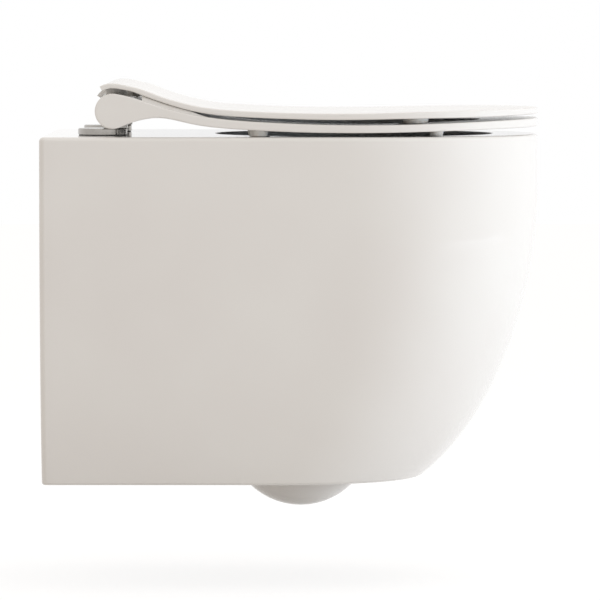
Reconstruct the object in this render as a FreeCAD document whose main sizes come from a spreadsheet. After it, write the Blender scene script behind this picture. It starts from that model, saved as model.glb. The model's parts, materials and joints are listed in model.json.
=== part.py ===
import FreeCAD, Part
import math
import os

import Sketcher
from FreeCAD import Placement, Rotation, Vector

# Wall hung toilet: a rimless vitreous china pan with a slim soft-close seat and lid that lift off two
# posts. +X leads out from the wall, +Y is the sitter's left, +Z is up. The origin is on the wall plane,
# midway between the two wall studs. Lengths are in millimetres.

SIZES = (
    # pan, outside
    ("pan_length", 507.5, "wall to the front of the rim"),
    ("pan_width", 360, "across the rim"),
    ("skirt_depth", 353, "rim to the bottom edge of the shroud"),
    ("rim_above_studs", 90, "rim plane above the wall studs"),
    ("front_straight", 40, "upright part of the front, below the rim"),
    ("front_curve_depth", 211, "front profile ellipse, along X"),
    ("front_curve_drop", 346, "front profile ellipse, along Z"),
    ("side_straight", 60, "upright part of the sides, below the rim"),
    ("side_curve_depth", 90, "side profile ellipse, along Y"),
    ("side_curve_drop", 340, "side profile ellipse, along Z"),
    ("nose_at_rim", 200, "length of the rounded front in plan, at the rim"),
    ("nose_at_foot", 150, "length of the rounded front in plan, at the bottom edge"),
    ("wall_corner", 6, "corner radius at the wall"),
    ("back_ground", 0.1, "ground off the back, which then lies flat on the wall"),
    ("rim_round", 4.5, "rounding of the rim's outer edge"),
    ("foot_round", 3, "rounding of the bottom edge"),
    # pan, walls
    ("skirt_wall", 11, "thickness of the shroud"),
    ("deck_wall", 14, "thickness of the deck"),
    ("back_plate", 14, "thickness of the plate at the wall"),
    ("back_plate_below_studs", 30, "back plate's lower edge below the studs"),
    ("back_post", 23.66, "china left beside the back opening, at the bottom edge"),
    ("bowl_wall", 10, "thickness of the bowl"),
    # bowl
    ("bowl_rear", 162, "wall to the rear of the bowl's mouth"),
    ("bowl_front_rim", 51.5, "rim in front of the bowl's mouth"),
    ("bowl_side_rim", 40, "rim beside the bowl's mouth"),
    ("sump_back", 205.5, "front of the pan to the centre of the sump"),
    ("sump_drop", 310, "rim to the bottom of the bowl"),
    # trap, outlet and inlet
    ("trap_bore", 26, "radius of the waterway"),
    ("trap_wall", 9, "thickness of the trap"),
    ("trap_throat", 5, "inner radius of the lower bend's outside"),
    ("weir_throat", 10, "inner radius of the upper bend's outside"),
    ("bowl_over_trap", 1.5, "china between the bowl and the trap, besides the trap's own wall"),
    ("outlet_drop", 190, "rim to the outlet's centre"),
    ("outlet_radius", 51, "outside of the outlet spigot"),
    ("outlet_wall", 8, "thickness of the outlet spigot"),
    ("spigot_length", 75, "straight part of the spigot"),
    ("inlet_drop", 55, "rim to the flush inlet's centre"),
    ("inlet_radius", 27.5, "bore of the flush inlet"),
    ("inlet_wall", 10, "thickness of the inlet horn"),
    ("inlet_depth", 120, "depth of the inlet bore"),
    ("flush_slot_width", 50, "flush outlet in the bowl's rear wall, along Y"),
    ("flush_slot_drop", 20, "flush outlet in the bowl's rear wall, along Z"),
    # wall fixing
    ("stud_spacing", 180, "between the wall studs"),
    ("stud_clearance", 6.5, "bore of the bushes, for M12 studs"),
    ("bush_wall", 2.5, "thickness of the bushes"),
    ("bush_flange", 5, "how far the bush flange stands past the sleeve"),
    ("bush_flange_thick", 2, "thickness of the bush flange"),
    ("washer_radius", 17, "outside of the washers"),
    ("washer_thick", 3, "thickness of the washers"),
    ("fixing_gap", 0.2, "clearance of the bushes in the china"),
    # seat fixing on the deck
    ("bolt_spacing", 155, "between the deck holes"),
    ("disc_x", 60.5, "wall to the deck holes"),
    ("deck_hole", 7.5, "radius of the deck holes"),
    ("gasket_radius", 24, "outside of the seals under the discs"),
    ("gasket_thick", 0.8, "thickness of the seals"),
    ("disc_radius", 25, "outside of the base discs"),
    ("disc_thick", 6.2, "thickness of the base discs"),
    ("disc_chamfer", 0.9, "edge of the base discs"),
    ("screw_radius", 3, "M6 fixing screw"),
    ("screw_head_radius", 6, "head of the fixing screw"),
    ("screw_head_thick", 3.2, "thickness of the head"),
    ("screw_length", 54, "length under the head"),
    ("key_size", 2, "half across the flats of the screw's hexagon socket"),
    ("screw_gap", 0.3, "clearance round the screw"),
    ("sleeve_length", 34, "expansion sleeve below the deck's face"),
    ("sleeve_gap", 0.3, "clearance of the sleeve in the deck hole"),
    ("nut_radius", 8.5, "lower end of the cone nut"),
    ("nut_neck", 5, "upper end of the cone nut"),
    ("nut_length", 10, "length of the cone nut"),
    ("nut_gap", 0.05, "clearance of the nut's thread on the screw"),
    # hinge
    ("hinge_x", 73.8, "wall to the hinge axis"),
    ("hinge_rise", 26, "hinge axis above the rim"),
    ("post_radius", 6, "radius of the posts"),
    ("post_height", 10, "height of the posts above the discs"),
    ("post_groove", 0.5, "depth of the groove for the catch"),
    ("slide_gap", 0.1, "clearance of the housings on the posts"),
    ("rest_gap", 0.3, "gap where a moving piece rests on another"),
    ("foot_length", 24, "housing foot, along X"),
    ("foot_width", 27, "housing foot, along Y"),
    ("barrel_radius", 12.5, "outside of the housing barrel"),
    ("barrel_start", 58, "inner end of the barrel, from the middle"),
    ("barrel_end", 97, "outer end of the barrel, from the middle"),
    ("barrel_end_wall", 9, "end wall of the barrel, round the pin"),
    ("damper_radius", 7.5, "radius of the dampers"),
    ("damper_gap", 0.1, "clearance of the dampers in the barrels"),
    ("cap_thick", 2, "thickness of the end caps"),
    ("pin_radius", 4, "radius of the hinge pins"),
    ("pin_gap", 0.05, "running clearance of pins and sleeves"),
    ("sleeve_radius", 6, "outside of the lid bush and the damper sleeve"),
    ("pin_in_cheek", 30, "length of the pins in the cheeks"),
    ("knuckle_gap", 2, "gap between barrel, lid ear and cheek"),
    ("ear_thick", 8, "thickness of the lid ears"),
    ("ear_radius", 13, "radius of the lid ears"),
    # release catch
    ("catch_thick", 2, "thickness of the catch plate"),
    ("catch_width", 17, "catch plate, along X"),
    ("catch_rise", 2.4, "catch plate above the foot of the housing"),
    ("catch_gap", 0.3, "clearance of the catch in its slot and round the post"),
    ("catch_rim", 4, "catch plate past the post"),
    ("button_travel", 3, "travel of the release button"),
    ("button_thick", 3, "release button, along Y"),
    ("button_height", 5, "release button, along Z"),
    ("button_gap", 0.2, "clearance of the button under the barrel"),
    # seat
    ("seat_front_inset", 0.5, "seat and lid, in from the pan's front"),
    ("seat_side_inset", 2, "seat and lid, in from the pan's sides"),
    ("seat_corner", 1, "corner radius in plan, behind the hinge"),
    ("cheek_radius", 17.7, "radius of the hinge cheeks"),
    ("bridge_gap", 10.7, "between the barrels and the seat's rear bridge"),
    ("seat_over_bowl_rear", 24, "seat's opening, in from the rear of the bowl's mouth"),
    ("seat_over_bowl_front", 8, "seat's opening, in from its front"),
    ("seat_over_bowl_side", 29, "seat's opening, in from its sides"),
    ("seat_edge_round", 1.6, "rounding of the seat's and lid's edges"),
    # lid
    ("lid_over_cheek", 5.3, "gap between the cheeks and the lid's arc over them"),
    ("lid_at_hinge", 5, "thickness of the lid's arc over the cheeks"),
    ("lid_arc_end", 117, "angle of the lid's rear edge about the hinge axis"),
    ("lip_over_barrel", 7.5, "gap between the barrels and the lid's rear lip"),
    ("lip_width", 96, "lid's rear lip, along Y"),
    ("lip_end", 146, "angle of the lip's lower edge about the hinge axis"),
    # bumpers
    ("bumper_stem", 3, "radius of the bumper stems"),
    ("bumper_stem_length", 4, "length of the bumper stems"),
    ("bumper_taper", 1, "how much smaller a bumper is where it rests"),
    ("rear_bumper_x", 57.5, "rear seat bumpers, from the rear of the bowl's mouth"),
    ("rear_bumper_inset", 23, "rear seat bumpers, in from the seat's side"),
    ("rear_bumper_radius", 11, "radius of the rear seat bumpers"),
    ("front_bumper_back", 108, "front seat bumpers, back from the seat's front"),
    ("front_bumper_inset", 41, "front seat bumpers, in from the seat's side"),
    ("front_bumper_radius", 8, "radius of the front seat bumpers"),
    ("lid_bumper_back", 129, "lid bumpers, back from the seat's front"),
    ("lid_bumper_inset", 40, "lid bumpers, in from the seat's side"),
    ("lid_bumper_radius", 14, "radius of the lid bumpers"),
)

# Side curves of seat and lid: (share of the way from the hinge axis to the front, height above the rim).
# They are drawn for cheeks whose top is this high above the rim, and stretched in height for others.
CHEEK_TOP_DRAWN = 43.7
SEAT_TOP = ((0.055, 38.6), (0.11, 30.7), (0.2025, 21.2), (0.341, 15.2), (0.5, 12.4),
            (0.664, 12.3), (0.822, 14.2), (1.0, 16.6))
SEAT_UNDERSIDE = ((0.055, 16.0), (0.11, 19.3), (0.179, 13.6), (0.295, 7.7), (0.433, 4.9),
                  (0.59, 4.2), (0.78, 5.7), (1.0, 7.8))
LID_TOP = ((0.037, 51.4), (0.064, 48.6), (0.11, 41.2), (0.156, 35.2), (0.2025, 30.6), (0.295, 26.5),
           (0.433, 24.1), (0.545, 23.7), (0.664, 24.6), (0.822, 26.1), (1.0, 27.0))
LID_UNDERSIDE = ((0.041, 46.2), (0.064, 42.7), (0.117, 34.5), (0.191, 25.6), (0.249, 21.9), (0.295, 20.3),
                 (0.387, 18.5), (0.5, 17.3), (0.664, 18.1), (0.822, 19.0), (1.0, 20.9))

# Bowl: (share of the sump's depth, share of the way in from the mouth to the sump at the rear, the same at
# the front, share of the mouth's width that is left).
BOWL_SECTIONS = ((0.0, 0.0, 0.0, 1.0), (0.2, 0.1, 0.045, 0.97), (0.4, 0.38, 0.18, 0.86),
                 (0.6, 0.7, 0.42, 0.66), (0.77, 0.87, 0.685, 0.44), (0.91, 0.955, 0.91, 0.25))

CHEEK_TOP_ANGLE = 82        # where the seat's top leaves the cheek's circle
CHEEK_FOOT_ANGLE = -67      # where the seat's underside leaves it
LID_ARC_START = 80          # where the lid's underside leaves its arc about the hinge axis
LOFT_DROPS = (0, 40, 90, 150, 210, 265, 310)    # heights of the shroud's sections, below the rim
NOSE_POWER = 2.15           # 2 is an ellipse, more is squarer
NOSE_POINTS = 16            # spans of the rounded front in plan
OVER = 20                   # how far a cutting tool runs past what it cuts
HEADROOM = 104              # height above the rim that seat and lid stay under
LEAST_STEP = 5              # least height between two sections of the shroud
LIP_BITE = 1                # how far the lid's rear lip reaches into the lid
FIRST_RADII = (10, 5)       # radii of a new sketch, until the sheet sets them
EARS_BACK = 108             # angle of the lid ears' rear edge about the hinge axis, at the lid
EARS_FRONT = 62             # angle of their front edge, at the lid
EAR_FOOT_BACK = 144         # angle where the rear edge meets the eye
EAR_FOOT_FRONT = 20         # angle where the front edge meets the eye

DOC = FreeCAD.newDocument("wall_hung_toilet")
SHEET = DOC.addObject("Spreadsheet::Sheet", "Sizes")
NODES = []


def fill_sheet():
    """Write every driving dimension to the spreadsheet, one to a row."""
    for row, (alias, value, note) in enumerate(SIZES, start=1):
        SHEET.set(f"A{row}", note)
        SHEET.set(f"B{row}", str(value))
        SHEET.setAlias(f"B{row}", alias)
    DOC.recompute()


def size(alias):
    """Value of a driving dimension."""
    return float(SHEET.get(alias))


def bind(thing, **expressions):
    """Bind properties of an object to expressions over the spreadsheet."""
    for name, expression in expressions.items():
        thing.setExpression(name, expression)


def put(thing, x="0", y="0", z="0"):
    """Bind an object's place to expressions over the spreadsheet."""
    for axis, expression in (("x", x), ("y", y), ("z", z)):
        thing.setExpression(f".Placement.Base.{axis}", expression)


def keep(thing, label):
    """Give a finished sub-part its label and list it for export."""
    thing.Label = label
    NODES.append(thing)
    return thing


def pair(piece, label):
    """Keep a piece and its mirror image across the middle plane as one node."""
    other = mirrored(piece, label + "_other")
    both = DOC.addObject("Part::Compound", label + "_pair")
    both.Links = [piece, other]
    return keep(both, label)


def mirrored(piece, name):
    """Mirror image of a piece across the middle plane."""
    other = DOC.addObject("Part::Mirroring", name)
    other.Source = piece
    other.Normal = (0, 1, 0)
    return other


def solid_feature(name, shape):
    """A free-form sub-part."""
    thing = DOC.addObject("Part::Feature", name)
    thing.Shape = shape
    thing.Placement = Placement()
    return thing


# --- turned pieces -------------------------------------------------------------------------------------

def new_body(name):
    """An empty body."""
    return DOC.addObject("PartDesign::Body", name)


def plane(body, role):
    """One of a body's origin planes."""
    return next(part for part in body.Origin.OriginFeatures if part.Role == role)


def ring_sketch(body, name, outer, inner=None, at="0"):
    """Sketch of one circle, or two about one centre, parallel to the body's XY plane."""
    sketch = body.newObject("Sketcher::SketchObject", name)
    sketch.AttachmentSupport = [(plane(body, "XY_Plane"), "")]
    sketch.MapMode = "FlatFace"
    sketch.setExpression(".AttachmentOffset.Base.z", at)
    for index, radius in enumerate(r for r in (outer, inner) if r):
        sketch.addGeometry(Part.Circle(Vector(0, 0, 0), Vector(0, 0, 1), FIRST_RADII[index]), False)
        sketch.addConstraint(Sketcher.Constraint("Coincident", index, 3, -1, 1))
        number = sketch.addConstraint(Sketcher.Constraint("Radius", index, FIRST_RADII[index]))
        sketch.renameConstraint(number, f"radius_{index}")
        sketch.setExpression(f"Constraints.radius_{index}", radius)
    return sketch


def ring_pad(body, name, outer, inner, length, at="0"):
    """Disc or ring added to a body, standing up from the height `at`."""
    pad = body.newObject("PartDesign::Pad", name)
    pad.Profile = ring_sketch(body, name + "_sketch", outer, inner, at)
    pad.setExpression("Length", length)
    return pad


def ring_pocket(body, name, outer, inner, length, at):
    """Disc or ring cut from a body, going up from the height `at`."""
    before = body.Shape.Volume
    pocket = body.newObject("PartDesign::Pocket", name)
    pocket.Profile = ring_sketch(body, name + "_sketch", outer, inner, at)
    pocket.Reversed = True
    pocket.setExpression("Length", length)
    DOC.recompute()
    if body.Shape.Volume >= before:
        raise RuntimeError(f"{name} cuts nothing")
    return pocket


def edges_at(shape, height, radius):
    """Names of the circular edges at a height and of a radius."""
    found = []
    for number, edge in enumerate(shape.Edges, start=1):
        circle = edge.Curve
        if isinstance(circle, Part.Circle) and abs(circle.Center.z - height) < 0.01:
            if abs(circle.Radius - radius) < 0.01:
                found.append(f"Edge{number}")
    return found


# --- primitives ----------------------------------------------------------------------------------------

def cylinder(name, radius, length, x, y, z, along_y=False):
    """Cylinder bound to the sheet, standing on its place or lying towards +Y from it."""
    thing = DOC.addObject("Part::Cylinder", name)
    if along_y:
        thing.Placement = Placement(Vector(), Rotation(Vector(1, 0, 0), -90))
    bind(thing, Radius=radius, Height=length)
    put(thing, x, y, z)
    return thing


def box(name, length, width, height, x, y, z):
    """Box bound to the sheet, by its lowest corner."""
    thing = DOC.addObject("Part::Box", name)
    bind(thing, Length=length, Width=width, Height=height)
    put(thing, x, y, z)
    return thing


def fuse(name, *pieces):
    """Union of pieces."""
    thing = DOC.addObject("Part::MultiFuse", name)
    thing.Shapes = list(pieces)
    return thing


def cut(name, base, tool):
    """Base without tool."""
    thing = DOC.addObject("Part::Cut", name)
    thing.Base = base
    thing.Tool = tool
    return thing


# --- shared outlines -----------------------------------------------------------------------------------

def plan_outline(tip, half_width, nose, rear, corner, z):
    """D-shaped wire at height z: straight at the wall, straight sides, rounded front."""
    start = tip - nose
    curve = []
    for step in range(NOSE_POINTS + 1):
        angle = math.pi / 2 * (1 - 2 * step / NOSE_POINTS)
        along = abs(math.cos(angle)) ** (2 / NOSE_POWER)
        across = math.copysign(abs(math.sin(angle)) ** (2 / NOSE_POWER), angle)
        curve.append(Vector(start + nose * along, half_width * across, z))
    curve[0] = Vector(start, half_width, z)
    curve[-1] = Vector(start, -half_width, z)
    front = Part.BSplineCurve()
    front.interpolate(Points=curve)
    inset = corner * (1 - math.sqrt(0.5))
    left = half_width - corner
    edges = [
        Part.LineSegment(Vector(rear, -left, z), Vector(rear, left, z)),
        Part.Arc(Vector(rear, left, z), Vector(rear + inset, half_width - inset, z),
                 Vector(rear + corner, half_width, z)),
        Part.LineSegment(Vector(rear + corner, half_width, z), curve[0]),
        front,
        Part.LineSegment(curve[-1], Vector(rear + corner, -half_width, z)),
        Part.Arc(Vector(rear + corner, -half_width, z), Vector(rear + inset, inset - half_width, z),
                 Vector(rear, -left, z)),
    ]
    return Part.Wire([edge.toShape() for edge in edges])


def quarter_fall(depth, drop, start, level):
    """How far an upright line that turns into a quarter ellipse has come in at a level below its start."""
    share = max(0.0, level - start) / drop
    return depth * (1 - math.sqrt(1 - share * share))


def half_width_at(level):
    """Half the shroud's width at a level below the rim."""
    return size("pan_width") / 2 - quarter_fall(
        size("side_curve_depth"), size("side_curve_drop"), size("side_straight"), level)


def oval(x, z, half_length, half_width):
    """Closed oval wire at height z, in two halves that meet at its ends along X."""
    centre = Vector(x, 0, z)
    end = Vector(half_length, 0, 0)
    side = Vector(0, half_width, 0)
    first = 0
    if math.isclose(half_length, half_width):
        curve = Part.Circle(centre, Vector(0, 0, 1), half_width)
    elif half_length > half_width:
        curve = Part.Ellipse(centre + end, centre + side, centre)
    else:
        curve = Part.Ellipse(centre + side, centre - end, centre)
        first = -math.pi / 2
    return Part.Wire([curve.toShape(first + turn, first + turn + math.pi) for turn in (0, math.pi)])


# --- pan -----------------------------------------------------------------------------------------------

def shroud(inset, top, bottom):
    """The shroud's outside, or its inside at the wall thickness, between two levels below the rim."""
    rim = size("rim_above_studs")
    foot = size("skirt_depth")
    between_ends = [drop for drop in LOFT_DROPS if top + LEAST_STEP < drop < bottom - LEAST_STEP]
    rear = size("back_plate") if inset else -size("back_ground")
    corner = size("wall_corner")
    wires = []
    for level in [top] + between_ends + [bottom]:
        bound = min(level, foot)
        tip = size("pan_length") - inset - quarter_fall(
            size("front_curve_depth"), size("front_curve_drop"), size("front_straight"), bound)
        half = half_width_at(bound) - inset
        nose = size("nose_at_rim") + (size("nose_at_foot") - size("nose_at_rim")) * bound / foot
        wires.append(plan_outline(tip, half, nose - inset, rear, corner, rim - level))
    return Part.makeLoft(wires, True, False)


def rounded_shroud():
    """The shroud's outside with its rim and bottom edges rounded and its back ground flat."""
    rim = size("rim_above_studs")
    foot = size("skirt_depth")
    block = shroud(0, 0, foot)
    at_rim = [e for e in block.Edges if all(abs(v.Z - rim) < 0.01 for v in e.Vertexes)]
    block = block.makeFillet(size("rim_round"), at_rim)
    at_foot = [e for e in block.Edges if all(abs(v.Z - rim + foot) < 0.01 for v in e.Vertexes)]
    block = block.makeFillet(size("foot_round"), at_foot)
    return block.cut(wall_block())


def wall_block():
    """The space of the wall behind the pan."""
    half = size("pan_width")
    return Part.makeBox(OVER, 2 * half, 2 * size("skirt_depth"), Vector(-OVER, -half, -size("skirt_depth")))


def bowl_mouth():
    """Rear, front and half width of the bowl's mouth."""
    return (size("bowl_rear"), size("pan_length") - size("bowl_front_rim"),
            size("pan_width") / 2 - size("bowl_side_rim"))


def sump_x():
    """Wall to the centre of the sump."""
    return size("pan_length") - size("sump_back")


def bend_radius(bend_name):
    """Radius of one of the trap's bends, "trap" or "weir", along its middle."""
    return size("trap_bore") + size("trap_wall") + size(bend_name + "_throat")


def trap_front(z):
    """Furthest that the trap's rising leg and upper bend reach from the wall at a height."""
    weir = bend_radius("weir")
    weir_z = size("rim_above_studs") - size("outlet_drop") - weir
    bend_x = sump_x() - 2 * bend_radius("trap") - weir
    reach = weir + size("trap_bore") + size("trap_wall")
    above = max(0.0, z - weir_z)
    return bend_x + math.sqrt(max(0.0, reach * reach - above * above))


def bowl_block(grow, over):
    """The bowl's hollow, or its outside at the wall thickness, down to the sump."""
    rim = size("rim_above_studs")
    rear, front, half = bowl_mouth()
    sump = sump_x()
    wires = []
    for depth, rear_in, front_in, share in BOWL_SECTIONS:
        z = rim - depth * size("sump_drop")
        low = rear + rear_in * (sump - size("trap_bore") - rear)
        low = max(low, trap_front(z) + size("bowl_over_trap")) - grow
        high = front + front_in * (sump + size("trap_bore") - front) + grow
        wires.append(oval((low + high) / 2, z, (high - low) / 2, share * half + grow))
    bore = size("trap_bore") + grow * size("trap_wall") / size("bowl_wall")
    wires.append(oval(sump, rim - size("sump_drop"), bore, bore))
    block = Part.makeLoft(wires, True, False)
    if over:
        block = block.fuse(Part.Face(wires[0]).extrude(Vector(0, 0, over)))
    return block


def bend(x, z, radius, bore, start, sweep):
    """Round pipe bend in the XZ plane about (x, z), from a start angle through a sweep, in degrees."""
    angle = math.radians(start)
    centre = Vector(x + radius * math.cos(angle), 0, z + radius * math.sin(angle))
    tangent = Vector(-math.sin(angle), 0, math.cos(angle))
    face = Part.Face(Part.Wire([Part.makeCircle(bore, centre, tangent)]))
    return face.revolve(Vector(x, 0, z), Vector(0, -1, 0), sweep)


def waterway(grow):
    """Trap from the sump, under the lower bend, over the weir and out to the spigot."""
    rim = size("rim_above_studs")
    bore = size("trap_bore") + (size("trap_wall") if grow else 0)
    mouth = size("outlet_radius") - (0 if grow else size("outlet_wall"))
    low_bend = bend_radius("trap")
    high_bend = bend_radius("weir")
    low_x = sump_x() - low_bend
    low_z = rim - size("sump_drop")
    rise_x = low_x - low_bend
    outlet_z = rim - size("outlet_drop")
    weir_x = rise_x - high_bend
    weir_z = outlet_z - high_bend
    spigot = size("spigot_length")
    cone = weir_x - spigot
    under = bend(low_x, low_z, low_bend, bore, 180, 180)
    rise = Part.makeCylinder(bore, weir_z - low_z, Vector(rise_x, 0, low_z))
    over = bend(weir_x, weir_z, high_bend, bore, 0, 90)
    taper = Part.makeCone(mouth, bore, cone, Vector(spigot, 0, outlet_z), Vector(1, 0, 0))
    reach = 0 if grow else OVER
    end = Part.makeCylinder(mouth, spigot + reach, Vector(-reach, 0, outlet_z), Vector(1, 0, 0))
    return under.multiFuse([rise, over, taper, end])


def inlet_horn():
    """Solid horn round the flush inlet, from the wall into the bowl."""
    at_wall = Vector(0, 0, size("rim_above_studs") - size("inlet_drop"))
    radius = size("inlet_radius") + size("inlet_wall")
    return Part.makeCylinder(radius, size("bowl_rear") + OVER, at_wall, Vector(1, 0, 0))


def inlet_way():
    """Bore of the flush inlet and the flat slot through which it flushes the bowl."""
    z = size("rim_above_studs") - size("inlet_drop")
    depth = size("inlet_depth") + OVER
    bore = Part.makeCylinder(size("inlet_radius"), depth, Vector(-OVER, 0, z), Vector(1, 0, 0))
    width = size("flush_slot_width")
    height = size("flush_slot_drop")
    corner = Vector(size("inlet_depth") - OVER, -width / 2, z - height / 2)
    slot = Part.makeBox(size("bowl_rear") - size("inlet_depth") + 2 * OVER, width, height, corner)
    return bore.fuse(slot)


def pan_holes():
    """Stud holes in the back plate and hinge holes in the deck."""
    rim = size("rim_above_studs")
    stud = size("stud_clearance") + size("bush_wall") + size("fixing_gap")
    tools = []
    for side in (-1, 1):
        at_wall = Vector(-OVER, side * size("stud_spacing") / 2, 0)
        tools.append(Part.makeCylinder(stud, size("back_plate") + 2 * OVER, at_wall, Vector(1, 0, 0)))
        on_deck = Vector(size("disc_x"), side * size("bolt_spacing") / 2, rim - size("deck_wall") - OVER)
        tools.append(Part.makeCylinder(size("deck_hole"), size("deck_wall") + 2 * OVER, on_deck))
    return tools


def back_opening():
    """Way in from the wall side for the waste connector, below the back plate."""
    width = 2 * (half_width_at(size("skirt_depth")) - size("back_post"))
    bottom = size("rim_above_studs") - size("skirt_depth") - OVER
    top = -size("back_plate_below_studs")
    corner = Vector(-OVER, -width / 2, bottom)
    return Part.makeBox(size("back_plate") + 2 * OVER, width, top - bottom, corner)


def pan():
    """The china. Its four parts are luted together before the one firing, and meet face to face."""
    wall = size("bowl_wall")
    bowl = bowl_block(wall, 0)
    trap = waterway(True)
    horn = inlet_horn()
    hollow = shroud(size("skirt_wall"), size("deck_wall"), size("skirt_depth") + OVER)
    shell = rounded_shroud().cut([hollow, back_opening(), bowl_block(wall, OVER), horn] + pan_holes())
    keep(solid_feature("shroud", shell), "pan_shroud")
    keep(solid_feature("bowl", bowl.cut([trap, bowl_block(0, OVER), inlet_way()])), "pan_bowl")
    keep(solid_feature("trap", trap.cut(waterway(False)).removeSplitter()), "pan_trap")
    keep(solid_feature("horn", horn.cut([bowl, inlet_way()])), "flush_inlet_horn")


def wall_fixing():
    """Nylon bushes in the stud holes and washers inside the back plate."""
    bush = new_body("stud_bush")
    inner = "Sizes.stud_clearance"
    outer = "Sizes.stud_clearance + Sizes.bush_wall"
    ring_pad(bush, "bush_sleeve", outer, inner, "Sizes.back_plate")
    ring_pad(bush, "bush_flange", outer + " + Sizes.bush_flange", inner, "Sizes.bush_flange_thick",
             "Sizes.back_plate")
    washer = new_body("stud_washer")
    ring_pad(washer, "washer_ring", "Sizes.washer_radius", inner, "Sizes.washer_thick")
    for piece, x in ((bush, "0"), (washer, "Sizes.back_plate + Sizes.bush_flange_thick")):
        piece.Placement = Placement(Vector(), Rotation(Vector(0, 1, 0), 90))
        put(piece, x, "Sizes.stud_spacing / 2")
    pair(bush, "stud_bushes")
    pair(washer, "stud_washers")


# --- seat fixing on the deck ---------------------------------------------------------------------------

RIM = "Sizes.rim_above_studs"
BOLT_Y = "Sizes.bolt_spacing / 2"
DISC_TOP = "Sizes.rim_above_studs + Sizes.gasket_thick + Sizes.disc_thick"
POST_FOOT = "Sizes.gasket_thick + Sizes.disc_thick"


def gaskets():
    """Seals between the base discs and the deck."""
    seal = new_body("base_gasket")
    ring_pad(seal, "gasket_ring", "Sizes.gasket_radius", "Sizes.deck_hole", "Sizes.gasket_thick")
    put(seal, "Sizes.disc_x", BOLT_Y, RIM)
    pair(seal, "base_gaskets")


def base_discs():
    """Polished discs that carry the posts, countersunk for the fixing screws."""
    disc = new_body("base_disc")
    ring_pad(disc, "disc_pad", "Sizes.disc_radius", "Sizes.screw_radius + Sizes.screw_gap",
             "Sizes.disc_thick")
    DOC.recompute()
    ring_pocket(disc, "disc_recess", "Sizes.screw_head_radius + Sizes.screw_gap", None,
                "Sizes.screw_head_thick + Sizes.screw_gap",
                "Sizes.disc_thick - Sizes.screw_head_thick - Sizes.screw_gap")
    recessed = disc.Tip
    rim_edges = edges_at(recessed.Shape, size("disc_thick"), size("disc_radius"))
    chamfer = disc.newObject("PartDesign::Chamfer", "disc_edge")
    chamfer.Base = (recessed, rim_edges)
    chamfer.setExpression("Size", "Sizes.disc_chamfer")
    disc.Tip = chamfer
    put(disc, "Sizes.disc_x", BOLT_Y, RIM + " + Sizes.gasket_thick")
    DOC.recompute()
    keep(disc, "hinge_base_disc_left")
    keep(mirrored(disc, "disc_other"), "hinge_base_disc_right")


def posts():
    """Grooved posts on the discs, under the hinge axis."""
    post = new_body("hinge_post")
    ring_pad(post, "post_pad", "Sizes.post_radius", None, "Sizes.post_height")
    DOC.recompute()
    ring_pocket(post, "post_groove_cut", f"Sizes.post_radius + {OVER}",
                "Sizes.post_radius - Sizes.post_groove", "Sizes.catch_thick + 2 * Sizes.catch_gap",
                "Sizes.rest_gap + Sizes.catch_rise - Sizes.catch_gap")
    put(post, "Sizes.hinge_x", BOLT_Y, DISC_TOP)
    pair(post, "hinge_posts")


def fixing_screws():
    """Screws with a hexagon socket, from the discs through the deck into the cone nuts."""
    screw = new_body("hinge_screw")
    ring_pad(screw, "screw_shank", "Sizes.screw_radius", None, "Sizes.screw_length")
    ring_pad(screw, "screw_head", "Sizes.screw_head_radius", None, "Sizes.screw_head_thick",
             "Sizes.screw_length")
    DOC.recompute()
    ring_pocket(screw, "screw_socket", "Sizes.key_size", None, "Sizes.screw_head_thick / 2",
                "Sizes.screw_length + Sizes.screw_head_thick / 2")
    put(screw, "Sizes.disc_x", BOLT_Y, DISC_TOP + " - Sizes.screw_length - Sizes.screw_head_thick")
    pair(screw, "hinge_screws")


def expansion_sleeves():
    """Rubber sleeves that the cone nuts spread under the deck."""
    sleeve = new_body("expansion_sleeve")
    ring_pad(sleeve, "sleeve_ring", "Sizes.deck_hole - Sizes.sleeve_gap",
             "Sizes.screw_radius + Sizes.screw_gap", "Sizes.sleeve_length")
    put(sleeve, "Sizes.disc_x", BOLT_Y, RIM + " - Sizes.sleeve_length")
    pair(sleeve, "expansion_sleeves")


def cone_nuts():
    """Conical nuts at the lower ends of the screws."""
    cone = DOC.addObject("Part::Cone", "nut_cone")
    bind(cone, Radius1="Sizes.nut_radius", Radius2="Sizes.nut_neck", Height="Sizes.nut_length")
    height = RIM + " - Sizes.sleeve_length - Sizes.nut_length"
    put(cone, "Sizes.disc_x", BOLT_Y, height)
    bore = cylinder("nut_bore", "Sizes.screw_radius + Sizes.nut_gap", "Sizes.nut_length",
                    "Sizes.disc_x", BOLT_Y, height)
    pair(cut("cone_nut", cone, bore), "cone_nuts")


# --- hinge housings ------------------------------------------------------------------------------------

AXIS_Z = "Sizes.rim_above_studs + Sizes.hinge_rise"
FOOT_Z = DISC_TOP + " + Sizes.rest_gap"
EAR_Y = "Sizes.barrel_end + Sizes.knuckle_gap"
CHEEK_Y = "Sizes.barrel_end + 2 * Sizes.knuckle_gap + Sizes.ear_thick"
SLOT_Z = FOOT_Z + " + Sizes.catch_rise - Sizes.catch_gap"
CATCH_END = "Sizes.bolt_spacing / 2 + Sizes.post_radius + Sizes.catch_gap + Sizes.catch_rim"
BORE_END = "Sizes.barrel_end - Sizes.barrel_end_wall"
BUTTON_Y = BOLT_Y + " - Sizes.foot_width / 2 - Sizes.button_travel - Sizes.catch_gap"
BUTTON_Z = FOOT_Z + " + Sizes.catch_rise + Sizes.catch_thick / 2 - Sizes.button_height / 2"


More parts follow.
